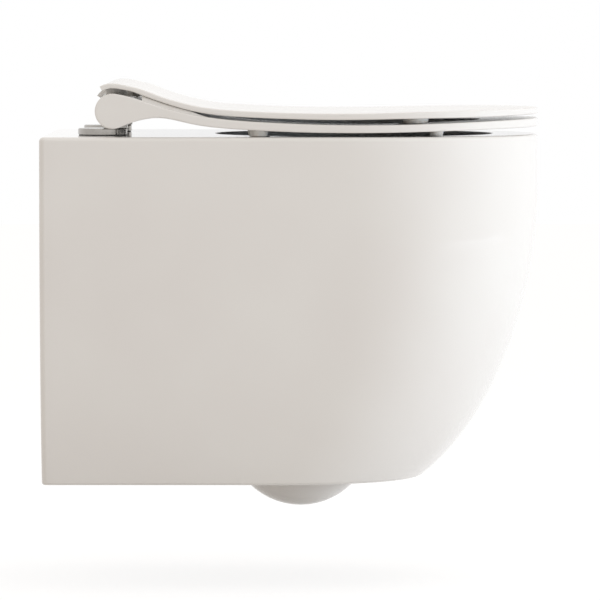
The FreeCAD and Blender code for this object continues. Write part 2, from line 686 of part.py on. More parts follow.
def housing(side, bore):
    """Barrel on a foot that slips over the post, with ways for the damper, pin, catch and button."""
    barrel = cylinder(f"barrel_{side}", "Sizes.barrel_radius", "Sizes.barrel_end - Sizes.barrel_start",
                      "Sizes.hinge_x", "Sizes.barrel_start", AXIS_Z, along_y=True)
    foot = box(f"foot_{side}", "Sizes.foot_length", "Sizes.foot_width", f"{AXIS_Z} - ({FOOT_Z})",
               "Sizes.hinge_x - Sizes.foot_length / 2", BOLT_Y + " - Sizes.foot_width / 2", FOOT_Z)
    socket = cylinder(f"socket_{side}", "Sizes.post_radius + Sizes.slide_gap",
                      "Sizes.post_height", "Sizes.hinge_x", BOLT_Y, FOOT_Z)
    chamber = cylinder(f"chamber_{side}", "Sizes.damper_radius + Sizes.damper_gap",
                       f"{BORE_END} - Sizes.barrel_start", "Sizes.hinge_x", "Sizes.barrel_start", AXIS_Z,
                       along_y=True)
    pin_way = cylinder(f"pin_way_{side}", bore, "Sizes.barrel_end_wall", "Sizes.hinge_x", BORE_END, AXIS_Z,
                       along_y=True)
    slot = box(f"slot_{side}", "Sizes.catch_width + 2 * Sizes.catch_gap",
               f"{CATCH_END} + Sizes.button_travel + Sizes.catch_gap - Sizes.barrel_start",
               "Sizes.catch_thick + 2 * Sizes.catch_gap",
               "Sizes.hinge_x - Sizes.catch_width / 2 - Sizes.catch_gap", "Sizes.barrel_start", SLOT_Z)
    button_way = box(f"button_way_{side}", "Sizes.catch_width + 2 * Sizes.button_gap",
                     "Sizes.button_thick + Sizes.button_travel + 2 * Sizes.button_gap",
                     "Sizes.button_height + 2 * Sizes.button_gap",
                     "Sizes.hinge_x - Sizes.catch_width / 2 - Sizes.button_gap",
                     f"{BUTTON_Y} - Sizes.button_thick - Sizes.button_gap",
                     f"{BUTTON_Z} - Sizes.button_gap")
    return cut(f"housing_{side}", fuse(f"housing_block_{side}", barrel, foot),
               fuse(f"housing_ways_{side}", socket, chamber, pin_way, slot, button_way))


def housings():
    """Left housing, round the seat's pin, and right housing, round the lid damper's sleeve."""
    keep(housing("left", "Sizes.pin_radius + Sizes.pin_gap"), "hinge_housing_left")
    right = housing("right_plan", "Sizes.sleeve_radius + Sizes.pin_gap")
    keep(mirrored(right, "housing_right"), "hinge_housing_right")


def dampers():
    """Rotary dampers in the barrels, and the caps that close the barrels."""
    length = f"{BORE_END} - Sizes.barrel_start - Sizes.cap_thick"
    damper = cylinder("damper_plan", "Sizes.damper_radius", length,
                      "Sizes.hinge_x", "Sizes.barrel_start + Sizes.cap_thick", AXIS_Z, along_y=True)
    keep(damper, "seat_damper")
    keep(mirrored(damper, "damper_other"), "lid_damper")
    cap = cylinder("cap_plan", "Sizes.damper_radius", "Sizes.cap_thick",
                   "Sizes.hinge_x", "Sizes.barrel_start", AXIS_Z, along_y=True)
    pair(cap, "housing_end_caps")


def catches():
    """Catch plates with a hole round the post, each in one piece with its release button."""
    x = "Sizes.hinge_x - Sizes.catch_width / 2"
    z = FOOT_Z + " + Sizes.catch_rise"
    plate = box("catch_plate", "Sizes.catch_width", f"{CATCH_END} - ({BUTTON_Y})", "Sizes.catch_thick",
                x, BUTTON_Y, z)
    button = box("button", "Sizes.catch_width", "Sizes.button_thick", "Sizes.button_height",
                 x, f"{BUTTON_Y} - Sizes.button_thick", BUTTON_Z)
    near = cylinder("catch_hole", "Sizes.post_radius + Sizes.catch_gap", "Sizes.catch_thick",
                    "Sizes.hinge_x", BOLT_Y, z)
    far = cylinder("catch_hole_pressed", "Sizes.post_radius + Sizes.catch_gap", "Sizes.catch_thick",
                   "Sizes.hinge_x", BOLT_Y + " - Sizes.button_travel", z)
    middle = box("catch_hole_middle", "2 * (Sizes.post_radius + Sizes.catch_gap)", "Sizes.button_travel",
                 "Sizes.catch_thick", "Sizes.hinge_x - Sizes.post_radius - Sizes.catch_gap",
                 BOLT_Y + " - Sizes.button_travel", z)
    catch = cut("catch_plan", fuse("catch_block", plate, button), fuse("catch_way", near, far, middle))
    keep(catch, "release_catch_left")
    keep(mirrored(catch, "catch_other"), "release_catch_right")


def pins():
    """Hinge pins, fixed in the seat's cheeks and running in the housings."""
    pin = cylinder("hinge_pin", "Sizes.pin_radius",
                   f"{CHEEK_Y} + Sizes.pin_in_cheek - ({BORE_END}) - Sizes.rest_gap",
                   "Sizes.hinge_x", f"{BORE_END} + Sizes.rest_gap", AXIS_Z, along_y=True)
    pair(pin, "hinge_pins")


def lid_bearings():
    """Bush in the left lid ear, and on the right the sleeve by which the lid turns its damper."""
    bush = cut("lid_bush_plan",
               cylinder("bush_block", "Sizes.sleeve_radius", "Sizes.ear_thick",
                        "Sizes.hinge_x", EAR_Y, AXIS_Z, along_y=True),
               cylinder("bush_bore", "Sizes.pin_radius + Sizes.pin_gap", "Sizes.ear_thick",
                        "Sizes.hinge_x", EAR_Y, AXIS_Z, along_y=True))
    keep(bush, "lid_bush")
    start = f"{BORE_END} + Sizes.rest_gap"
    length = f"{EAR_Y} + Sizes.ear_thick - ({start})"
    sleeve = cut("sleeve_plan",
                 cylinder("sleeve_block", "Sizes.sleeve_radius", length,
                          "Sizes.hinge_x", start, AXIS_Z, along_y=True),
                 cylinder("sleeve_bore", "Sizes.pin_radius + Sizes.pin_gap", length,
                          "Sizes.hinge_x", start, AXIS_Z, along_y=True))
    keep(mirrored(sleeve, "sleeve_right"), "lid_damper_sleeve")


# --- seat and lid --------------------------------------------------------------------------------------

def seat_front():
    """Wall to the front of the seat and lid."""
    return size("pan_length") - size("seat_front_inset")


def seat_half():
    """Half the width of the seat and lid."""
    return size("pan_width") / 2 - size("seat_side_inset")


def lid_arc():
    """Inner and outer radius of the lid's arc over the cheeks."""
    inner = size("cheek_radius") + size("lid_over_cheek")
    return inner, inner + size("lid_at_hinge")


def about_axis(radius, angle):
    """Point in the middle plane at a radius and an angle (degrees, from +X up) about the hinge axis."""
    turn = math.radians(angle)
    rise = size("rim_above_studs") + size("hinge_rise")
    return Vector(size("hinge_x") + radius * math.cos(turn), 0, rise + radius * math.sin(turn))


def along(curve):
    """Points of a side curve in the middle plane."""
    reach = seat_front() - size("hinge_x")
    rim = size("rim_above_studs")
    stretch = (size("hinge_rise") + size("cheek_radius")) / CHEEK_TOP_DRAWN
    return [Vector(size("hinge_x") + share * reach, 0, rim + height * stretch) for share, height in curve]


def tangent_at(angle, way):
    """Direction along a circle about the hinge axis at an angle; way 1 is against the clock."""
    turn = math.radians(angle)
    return Vector(-way * math.sin(turn), 0, way * math.cos(turn))


def spline(points, first):
    """Smooth edge through points, with a given direction at its first one."""
    curve = Part.BSplineCurve()
    only_first = [True] + [False] * (len(points) - 1)
    curve.interpolate(Points=points, Tangents=[first] * len(points), TangentFlags=only_first)
    return curve.toShape()


def side_slab(edges):
    """Slab as wide as the seat with the given outline in side view."""
    half = seat_half() + OVER
    face = Part.Face(Part.Wire(edges))
    face.translate(Vector(0, -half, 0))
    return face.extrude(Vector(0, 2 * half, 0))


def seat_slab():
    """Side view of the seat: teardrop cheek, arm and ring."""
    radius = size("cheek_radius")
    upper = about_axis(radius, CHEEK_TOP_ANGLE)
    lower = about_axis(radius, CHEEK_FOOT_ANGLE)
    middle = about_axis(radius, (CHEEK_TOP_ANGLE + CHEEK_FOOT_ANGLE + 360) / 2)
    top = [upper] + along(SEAT_TOP)
    bottom = [lower] + along(SEAT_UNDERSIDE)
    return side_slab([
        Part.Arc(upper, middle, lower).toShape(),
        spline(bottom, tangent_at(CHEEK_FOOT_ANGLE, 1)),
        Part.LineSegment(bottom[-1], top[-1]).toShape(),
        spline(top, tangent_at(CHEEK_TOP_ANGLE, -1)),
    ])


def lid_slab():
    """Side view of the lid: arc over the cheeks, then a thin plate."""
    end = size("lid_arc_end")
    inner, outer = lid_arc()
    low = about_axis(inner, end)
    low_exit = about_axis(inner, LID_ARC_START)
    high = about_axis(outer, end)
    arc_middle = about_axis(inner, (end + LID_ARC_START) / 2)
    top = [high, about_axis(outer, (end + LID_ARC_START) / 2)] + along(LID_TOP)
    bottom = [low_exit] + along(LID_UNDERSIDE)
    return side_slab([
        Part.LineSegment(high, low).toShape(),
        Part.Arc(low, arc_middle, low_exit).toShape(),
        spline(bottom, tangent_at(LID_ARC_START, -1)),
        Part.LineSegment(bottom[-1], top[-1]).toShape(),
        spline(top, tangent_at(end, -1)),
    ])


def seat_plan():
    """Upright block with the seat's and lid's outline in plan."""
    rim = size("rim_above_studs")
    outline = plan_outline(seat_front(), seat_half(), size("nose_at_rim") - size("seat_side_inset"),
                           size("hinge_x") - lid_arc()[1], size("seat_corner"), rim)
    return Part.Face(outline).extrude(Vector(0, 0, HEADROOM))


def between(low_y, high_y, x, length):
    """Upright block from x along X, between two distances from the middle on +Y."""
    rim = size("rim_above_studs")
    return Part.makeBox(length, high_y - low_y, HEADROOM, Vector(x, low_y, rim))


def cheek_start():
    """Inner face of the cheeks, from the middle."""
    return size("barrel_end") + 2 * size("knuckle_gap") + size("ear_thick")


def seat():
    """Seat ring with its rear bridge, two cheeks and the holes for pins and bumper stems."""
    ring = softened(seat_slab().common(seat_plan()))
    inner = cheek_start()
    bridge_x = size("hinge_x") + size("barrel_radius") + size("bridge_gap")
    rear = size("hinge_x") - 2 * size("cheek_radius")
    ring = ring.cut(between(-inner, inner, rear, bridge_x - rear))
    low, high, half = bowl_mouth()
    low += size("seat_over_bowl_rear")
    high -= size("seat_over_bowl_front")
    hole = Part.Face(oval((low + high) / 2, size("rim_above_studs"), (high - low) / 2,
                          half - size("seat_over_bowl_side")))
    ring = ring.cut(hole.extrude(Vector(0, 0, HEADROOM)))
    axis = about_axis(0, 0)
    tools = []
    for side in (-1, 1):
        start = Vector(axis.x, side * inner, axis.z)
        tools.append(Part.makeCylinder(size("pin_radius"), size("pin_in_cheek"), start, Vector(0, side, 0)))
    ring = ring.cut(tools)
    seat_bumpers(ring)


def softened(shape):
    """Shape with its upper and lower faces rounded along their outline, but not along the hinge."""
    radius = size("seat_edge_round")
    broad = sorted(shape.Faces, key=lambda face: face.Area)[-2:]
    outline = [edge for face in broad for edge in face.Edges if edge.BoundBox.XLength > radius]
    return shape.makeFillet(radius, outline)


def height_over(shape, x, y):
    """Lowest point of a shape above the rim at a place in plan."""
    rim = size("rim_above_studs")
    probe = Part.makeLine(Vector(x, y, rim), Vector(x, y, rim + HEADROOM))
    return min(vertex.Z for vertex in shape.common(probe).Vertexes)


def bumper(shape, x, y, radius, foot):
    """Tapered round bumper from its foot up to the underside of a shape, and the hole for its stem."""
    base = height_over(shape, x, y)
    stem = size("bumper_stem_length")
    over = base - foot + stem
    small = radius - size("bumper_taper")
    pad = Part.makeCone(small, radius, over, Vector(x, y, foot)).cut(shape)
    pad = min(pad.Solids, key=lambda piece: piece.CenterOfMass.z)
    peg = Part.makeCylinder(size("bumper_stem"), over, Vector(x, y, foot))
    return pad.fuse(peg), Part.makeCylinder(size("bumper_stem"), over, Vector(x, y, foot))


def seat_bumpers(ring):
    """Rear and front bumpers under the seat, which rest on the rim; also finishes the seat."""
    foot = size("rim_above_studs") + size("rest_gap")
    rows = {"rear": size("bowl_rear") + size("rear_bumper_x"),
            "front": seat_front() - size("front_bumper_back")}
    holes = []
    for name, x in rows.items():
        y = seat_half() - size(name + "_bumper_inset")
        pads = []
        for side in (-1, 1):
            pad, hole = bumper(ring, x, side * y, size(name + "_bumper_radius"), foot)
            pads.append(pad)
            holes.append(hole)
        keep(solid_feature(name + "_bumpers", Part.makeCompound(pads)), name + "_seat_bumpers")
    keep(solid_feature("seat", ring.cut(holes)), "seat_ring")


def lid_ear():
    """Ear of the lid on +Y: an eye round the pin with a web up to the lid."""
    inner = size("barrel_end") + size("knuckle_gap")
    radius = size("ear_radius")
    outer = sum(lid_arc()) / 2
    axis = about_axis(0, 0)
    eye = Part.Face(Part.Wire([Part.makeCircle(radius, axis, Vector(0, 1, 0))]))
    web = Part.Face(Part.makePolygon([
        axis, about_axis(radius, EAR_FOOT_FRONT), about_axis(outer, EARS_FRONT),
        about_axis(outer, EARS_BACK), about_axis(radius, EAR_FOOT_BACK), axis]))
    ear = eye.fuse(web).extrude(Vector(0, size("ear_thick"), 0))
    ear.translate(Vector(0, inner, 0))
    bore = Part.makeCylinder(size("sleeve_radius"), size("ear_thick"), Vector(axis.x, inner, axis.z),
                             Vector(0, 1, 0))
    return ear.cut(bore)


def lid_lip():
    """Lip behind the hinge, in the middle of the lid's rear edge."""
    inner = size("barrel_radius") + size("lip_over_barrel")
    outer = lid_arc()[0] + LIP_BITE
    wide = size("lip_width")
    start = (LID_ARC_START + size("lid_arc_end")) / 2
    end = size("lip_end")
    middle = (start + end) / 2
    ring = Part.Face(Part.Wire([
        Part.Arc(about_axis(inner, start), about_axis(inner, middle), about_axis(inner, end)).toShape(),
        Part.LineSegment(about_axis(inner, end), about_axis(outer, end)).toShape(),
        Part.Arc(about_axis(outer, end), about_axis(outer, middle), about_axis(outer, start)).toShape(),
        Part.LineSegment(about_axis(outer, start), about_axis(inner, start)).toShape()]))
    ring.translate(Vector(0, -wide / 2, 0))
    return ring.extrude(Vector(0, wide, 0))


def lid():
    """Lid plate with its ears and rear lip, and the bumpers that rest on the seat."""
    cover = softened(lid_slab().common(seat_plan()))
    ear = lid_ear()
    cover = cover.multiFuse([ear, ear.mirror(Vector(), Vector(0, 1, 0)), lid_lip()])
    ring = next(thing for thing in NODES if thing.Label == "seat_ring").Shape
    pads = []
    holes = []
    rim = size("rim_above_studs")
    x = seat_front() - size("lid_bumper_back")
    for side in (-1, 1):
        y = side * (seat_half() - size("lid_bumper_inset"))
        rest = ring.common(Part.makeLine(Vector(x, y, rim), Vector(x, y, rim + HEADROOM)))
        foot = max(vertex.Z for vertex in rest.Vertexes) + 2 * size("rest_gap")
        pad, hole = bumper(cover, x, y, size("lid_bumper_radius"), foot)
        pads.append(pad)
        holes.append(hole)
    keep(solid_feature("lid_pads", Part.makeCompound(pads)), "lid_bumpers")
    keep(solid_feature("lid", cover.cut(holes)), "lid_cover")


# --- build and export ----------------------------------------------------------------------------------

def check():
    """Stop if any object failed or any sub-part is empty or broken."""
    DOC.recompute()
    for thing in DOC.Objects:
        if "Invalid" in thing.State or "Error" in thing.State:
            raise RuntimeError(f"{thing.Label} failed: {thing.State}")
    for thing in NODES:
        if thing.Shape.isNull() or not thing.Shape.isValid() or not thing.Shape.Solids:
            raise RuntimeError(f"{thing.Label} has no valid solid")


def export():
    """Write one STEP file for each sub-part."""
    os.makedirs("parts", exist_ok=True)
    for thing in NODES:
        thing.Shape.exportStep(f"parts/{thing.Label}.step")
        print(thing.Label, len(thing.Shape.Solids), round(thing.Shape.Volume))


fill_sheet()
pan()
wall_fixing()
gaskets()
base_discs()
posts()
fixing_screws()
expansion_sleeves()
cone_nuts()
housings()
dampers()
catches()
pins()
lid_bearings()
seat()
lid()
check()
export()
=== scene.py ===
"""Looks of a wall hung toilet: glazed china pan, slim resin seat and lid, polished hinge fixings.

Lengths are millimetres in the classes and metres in Blender. +X leads out from the wall, +Y is the sitter's
left and +Z is up.
"""

import json
import logging
import math
from abc import ABC, abstractmethod
from dataclasses import dataclass
from enum import Enum
from typing import Any

import bmesh
import bpy
import numpy as np
from bpy.types import ID, Material, Node, NodeSocket, NodeTree, Object
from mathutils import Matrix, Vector
from mathutils.bvhtree import BVHTree


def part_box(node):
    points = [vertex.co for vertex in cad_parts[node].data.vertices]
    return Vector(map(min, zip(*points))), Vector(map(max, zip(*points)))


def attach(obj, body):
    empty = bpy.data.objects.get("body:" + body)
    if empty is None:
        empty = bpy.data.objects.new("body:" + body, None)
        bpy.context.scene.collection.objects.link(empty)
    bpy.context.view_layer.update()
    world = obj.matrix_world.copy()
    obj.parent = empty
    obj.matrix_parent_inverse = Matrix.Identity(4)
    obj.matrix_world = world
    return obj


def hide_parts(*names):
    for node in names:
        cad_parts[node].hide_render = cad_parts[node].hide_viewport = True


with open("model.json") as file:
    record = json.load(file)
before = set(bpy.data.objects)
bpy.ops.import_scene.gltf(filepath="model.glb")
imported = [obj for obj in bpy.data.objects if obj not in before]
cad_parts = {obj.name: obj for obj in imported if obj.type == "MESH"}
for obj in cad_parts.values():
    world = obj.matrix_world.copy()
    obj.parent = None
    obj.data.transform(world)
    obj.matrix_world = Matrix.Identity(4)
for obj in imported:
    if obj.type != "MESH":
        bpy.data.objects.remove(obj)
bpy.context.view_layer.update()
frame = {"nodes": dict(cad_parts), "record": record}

MM = 0.001
MERGE = 1e-7
BEYOND = 1.0  # how far a cutter stands out of what it cuts
NOISE_LOW, NOISE_HIGH = 0.3, 0.7
SHARP_DEGREES = 50.0
WHITE = (1, 1, 1, 1)
# sockets that share their names with others, by number
MIXED_COLOUR = 2
WHOLE_A, WHOLE_B = 2, 3
LOG = logging.getLogger("wall_hung_toilet")


class Slot(Enum):
    """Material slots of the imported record."""

    CHINA = "vitreous_china"
    RESIN = "seat_duroplast"
    CHROME = "polished_chrome"
    STEEL = "stainless_steel"
    HINGE = "hinge_metal"
    DAMPER = "damper_plastic"
    CATCH = "catch_plastic"
    NYLON = "nylon"
    BUMPER = "bumper_plastic"
    SEAL = "seal_rubber"


class Body(Enum):
    """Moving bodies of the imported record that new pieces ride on."""

    PAN = "pan"
    SEAT = "seat"
    LID = "lid"


class Join(Enum):
    """Ways in which one solid is joined to others."""

    ADD = "UNION"
    CUT = "DIFFERENCE"


# --- small tools ---


def colour(code: str) -> tuple[float, float, float, float]:
    """Turn a six-digit sRGB hex code into a linear colour.

    Args:
        code: Two hex digits each for red, green and blue.

    Returns:
        Linear red, green, blue and an alpha of 1.
    """
    shares = [int(code[at:at + 2], 16) / 255 for at in (0, 2, 4)]
    linear = [c / 12.92 if c <= 0.04045 else ((c + 0.055) / 1.055) ** 2.4 for c in shares]
    return (*linear, 1.0)


def add(tree: NodeTree, kind: str, inputs: dict[Any, Any] | None = None,
        **settings: Any) -> Node:
    """Add one node to a tree.

    Args:
        tree: Shader or geometry tree that takes the node.
        kind: Blender's name of the node's type.
        inputs: Value or output socket for each input, by its name or number.
        settings: Properties of the node itself.

    Returns:
        The node.
    """
    node = tree.nodes.new(kind)
    for name, value in settings.items():
        setattr(node, name, value)
    for name, value in (inputs or {}).items():
        if isinstance(value, NodeSocket):
            tree.links.new(value, node.inputs[name])
        else:
            node.inputs[name].default_value = value
    return node


def smooth_through(knots: np.ndarray, values: np.ndarray, at: float) -> float:
    """Cubic curve through points, with slopes taken from their neighbours.

    Args:
        knots: Rising places of the points.
        values: Their values.
        at: Place that is asked for.

    Returns:
        The curve's value there.
    """
    slopes = np.gradient(values, knots)
    left = int(np.clip(np.searchsorted(knots, at) - 1, 0, len(knots) - 2))
    span = knots[left + 1] - knots[left]
    t = (at - knots[left]) / span
    rise = values[left + 1] - values[left]
    return float(values[left] + rise * t * t * (3 - 2 * t)
                 + span * t * (1 - t) * (slopes[left] * (1 - t) - slopes[left + 1] * t))


def quarter(radius: float, points: int, first_degrees: float = 0.0) -> list[tuple[float, float]]:
    """Points of a rounded edge, as how far they lie from its first face and from its second."""
    return [(radius * (1 - math.cos(a)), radius * (1 - math.sin(a)))
            for a in np.linspace(math.radians(first_degrees), math.pi / 2, points)]


def around(points: int) -> np.ndarray:
    """Angles of so many points round a circle."""
    return np.linspace(0, 2 * math.pi, points + 1)[:-1]


# --- finishes ---


@dataclass(frozen=True)
class Finish(ABC):
    """A real material with its surface, as one procedural node material: its colour varies in patches, and
    a grain breaks its gloss and stands in relief."""

    name: str
    dark: str
    light: str
    gloss: tuple[float, float]
    grain_mm: float
    grain_depth_mm: float
    patch_mm: float
    grain_detail: float = 2.0
    patch_detail: float = 2.0
    stretch: tuple[float, float, float] = (1, 1, 1)

    @abstractmethod
    def constants(self) -> dict[str, Any]:
        """Values of the shader's sockets that are the same all over."""

    def material(self) -> Material:
        """Make the finish as a Blender material, once.

        Returns:
            The material, under the finish's name.
        """
        made = bpy.data.materials.get(self.name)
        if made is None:
            made = bpy.data.materials.new(self.name)
            made.use_nodes = True
            shader = made.node_tree.nodes["Principled BSDF"]
            for name, pattern in self.patterns(made.node_tree).items():
                made.node_tree.links.new(pattern, shader.inputs[name])
            for name, value in self.constants().items():
                shader.inputs[name].default_value = value
        return made

    def patterns(self, tree: NodeTree) -> dict[str, NodeSocket]:
        """Patterns that lead into the shader.

        Args:
            tree: Tree of the material.

        Returns:
            Colour, roughness and normal, by the names of the shader's sockets.
        """
        grain = self.noise(tree, self.grain_mm, self.grain_detail, self.stretch)
        low, high = self.gloss
        ramp = add(tree, "ShaderNodeValToRGB", {"Fac": self.noise(tree, self.patch_mm, self.patch_detail)})
        for stop, code, place in zip(ramp.color_ramp.elements, (self.dark, self.light),
                                     (NOISE_LOW, NOISE_HIGH)):
            stop.color = colour(code)
            stop.position = place
        rough = add(tree, "ShaderNodeMapRange", {"Value": self.haze(tree, grain), "From Min": NOISE_LOW,
                                                 "From Max": NOISE_HIGH, "To Min": low, "To Max": high})
        relief = add(tree, "ShaderNodeBump", {"Height": grain, "Distance": self.grain_depth_mm * MM,
                                              "Strength": 1.0})
        return {"Base Color": ramp.outputs["Color"], "Roughness": rough.outputs["Result"],
                "Normal": relief.outputs["Normal"]}

    def haze(self, tree: NodeTree, grain: NodeSocket) -> NodeSocket:
        """Noise that breaks the gloss: the grain, unless a finish has another."""
        return grain

    def noise(self, tree: NodeTree, size_mm: float, detail: float,
              stretch: tuple[float, float, float] = (1, 1, 1)) -> NodeSocket:
        """Noise over the object's own coordinates.

        Args:
            tree: Tree of the material.
            size_mm: Width of one patch.
            detail: Octaves of finer noise on top.
            stretch: How many times as fine it is along X, Y and Z.

        Returns:
            The noise's value, 0 to 1 about a half.
        """
        place = add(tree, "ShaderNodeTexCoord").outputs["Object"]
        turned = add(tree, "ShaderNodeMapping", {"Vector": place, "Scale": stretch})
        return add(tree, "ShaderNodeTexNoise", {"Vector": turned.outputs["Vector"], "Detail": detail,
                                                "Scale": 1 / (size_mm * MM)}).outputs["Fac"]


@dataclass(frozen=True)
class GlazedChina(Finish):
    """Vitreous china, slip cast, spray glazed and fired: deep gloss, with a glaze that waves very slightly
    and is a touch warmer where it lies thin."""

    gloss: tuple[float, float] = (0.025, 0.045)
    grain_mm: float = 16
    grain_depth_mm: float = 0.025
    grain_detail: float = 1.5
    patch_mm: float = 110
    patch_detail: float = 1
    dip_mm: float = 2.2
    dip_detail: float = 3
    refraction: float = 1.52

    def constants(self) -> dict[str, Any]:
        """Refraction of the glaze."""
        return {"IOR": self.refraction}

    def haze(self, tree: NodeTree, grain: NodeSocket) -> NodeSocket:
        """Fine dips of the glaze, apart from its waves."""
        return self.noise(tree, self.dip_mm, self.dip_detail)


@dataclass(frozen=True)
class UreaResin(Finish):
    """Urea resin, compression moulded and polished: gloss a little softer than glaze, with the orange-peel
    of the press. Real peel is 1 or 2 mm, which the render loses, so it is drawn coarser."""

    gloss: tuple[float, float] = (0.12, 0.17)
    grain_mm: float = 5.0
    grain_depth_mm: float = 0.0015
    patch_mm: float = 70
    refraction: float = 1.54

    def constants(self) -> dict[str, Any]:
        """Refraction of the resin."""
        return {"IOR": self.refraction}


@dataclass(frozen=True)
class Metal(Finish):
    """Metal with its polish or grain: chrome plate mirrors what is near with a slight haze, turned steel
    shows fine lines, and plated zinc is satin. Real grain is under 0.1 mm, too fine to show, so it is drawn
    coarser."""

    grain_mm: float = 1.2
    grain_depth_mm: float = 0.001
    grain_detail: float = 4
    patch_mm: float = 14

    def constants(self) -> dict[str, Any]:
        """Metal all through."""
        return {"Metallic": 1.0}


@dataclass(frozen=True)
class MouldedPlastic(Finish):
    """Injection moulded plastic, such as acetal or nylon: satin, coloured through, with some light let in.
    Real spark-eroded grain is about 0.1 mm, too fine to show, so it is drawn coarser."""

    gloss: tuple[float, float] = (0.4, 0.52)
    grain_mm: float = 0.9
    grain_depth_mm: float = 0.01
    grain_detail: float = 3
    patch_mm: float = 9
    glow: float = 0.0
    glow_mm: float = 2
    glow_tone: tuple[float, float, float] = (1.0, 0.9, 0.8)

    def constants(self) -> dict[str, Any]:
        """Light under the skin."""
        return {"Subsurface Weight": self.glow, "Subsurface Radius": self.glow_tone,
                "Subsurface Scale": self.glow_mm * MM}


@dataclass(frozen=True)
class SoftElastomer(MouldedPlastic):
    """Milky thermoplastic elastomer of the bumpers, or matt EPDM of the seals."""

    gloss: tuple[float, float] = (0.38, 0.5)
    glow: float = 0.35


FINISHES: dict[Slot, Finish] = {
    Slot.CHINA: GlazedChina("vitreous_china_white_glaze", "F2F0ED", "F5F4F1"),
    Slot.RESIN: UreaResin("urea_resin_gloss_white", "F2F0ED", "F5F4F1"),
    Slot.CHROME: Metal("chrome_plate_polished", "A29E99", "B8B4AF", (0.1, 0.16)),
    Slot.STEEL: Metal("stainless_steel_turned", "A8A8A6", "C2C2C0", (0.22, 0.38), 1.6, 0.004,
                      stretch=(1, 1, 9)),
    Slot.HINGE: Metal("zinc_die_cast_satin_plated", "B9B7B3", "CBC9C5", (0.28, 0.4), 0.8, 0.006),
    Slot.DAMPER: MouldedPlastic("acetal_dark_moulded", "47484B", "515256"),
    Slot.CATCH: MouldedPlastic("acetal_grey_moulded", "8F9092", "9C9DA0"),
    Slot.NYLON: MouldedPlastic("nylon_natural_moulded", "E2DFD6", "EBE9E2", (0.35, 0.5), 1.1, glow=0.25),
    Slot.BUMPER: SoftElastomer("elastomer_milky_moulded", "F0EDE8", "F7F5F1"),
    Slot.SEAL: SoftElastomer("epdm_matt_moulded", "4C4D50", "595A5E", (0.6, 0.75), 0.7, 0.02, glow=0.0),
}


# --- meshes ---


def lofted(name: str, rings: list[np.ndarray]) -> Object:
    """Closed body through rings with equal numbers of points.

    Args:
        name: Name of the object.
        rings: One array of points in millimetres for each ring, all in the same turn.

    Returns:
        The object, with faces outwards and a flat cap at each end.
    """
    count = len(rings[0])
    turn = [(at, (at + 1) % count) for at in range(count)]
    faces = [(row * count + a, row * count + b, (row + 1) * count + b, (row + 1) * count + a)
             for row in range(len(rings) - 1) for a, b in turn]
    last = (len(rings) - 1) * count
    faces += [tuple(reversed(range(count))), tuple(range(last, last + count))]
    mesh = bpy.data.meshes.new(name)
    mesh.from_pydata((np.concatenate(rings) * MM).tolist(), [], faces)
    work = bmesh.new()
    work.from_mesh(mesh)
    bmesh.ops.remove_doubles(work, verts=work.verts, dist=MERGE)
    bmesh.ops.recalc_face_normals(work, faces=work.faces)
    work.to_mesh(mesh)
    work.free()
    return linked(name, mesh)


def linked(name: str, data: ID) -> Object:
    """Put a mesh, lamp or camera in the scene.

    Args:
        name: Name of its object.
        data: The mesh, lamp or camera.

    Returns:
        The new object.
    """
    thing = bpy.data.objects.new(name, data)
    bpy.context.scene.collection.objects.link(thing)
    return thing


def settled(thing: Object) -> Object:
    """Turn an object's modifiers into its plain mesh.

    Args:
        thing: The object.

    Returns:
        The same object, without modifiers.
    """
    seen = thing.evaluated_get(bpy.context.evaluated_depsgraph_get())
    mesh = bpy.data.meshes.new_from_object(seen)
    mesh.name = thing.name
    thing.modifiers.clear()
    thing.data = mesh
    return thing


def joined(body: Object, others: list[Object], join: Join) -> Object:
    """Add closed bodies to another, or cut them from it, and remove them.

    Args:
        body: What is added to or cut.
        others: Closed bodies without a place of their own.
        join: Whether they are added or cut.

    Returns:
        The body, with the result as its mesh.
    """
    group = bpy.data.collections.new("joining")
    for other in others:
        group.objects.link(other)
    modifier = body.modifiers.new("join", "BOOLEAN")
    modifier.operand_type = "COLLECTION"
    modifier.collection = group
    modifier.operation = join.value
    modifier.solver = "EXACT"
    settled(body)
    for other in others:
        bpy.data.objects.remove(other)
    bpy.data.collections.remove(group)
    return body


def shaded(thing: Object, sharp_degrees: float = SHARP_DEGREES) -> Object:
    """Shade an object smoothly up to an edge angle, with flat faces kept flat.

    Args:
        thing: The object.
        sharp_degrees: Angle from which an edge stays sharp.

    Returns:
        The same object.
    """
    thing.data.shade_smooth()
    thing.data.set_sharp_from_angle(angle=math.radians(sharp_degrees))
    weigh = thing.modifiers.new("weigh", "WEIGHTED_NORMAL")
    weigh.keep_sharp = True
    return settled(thing)


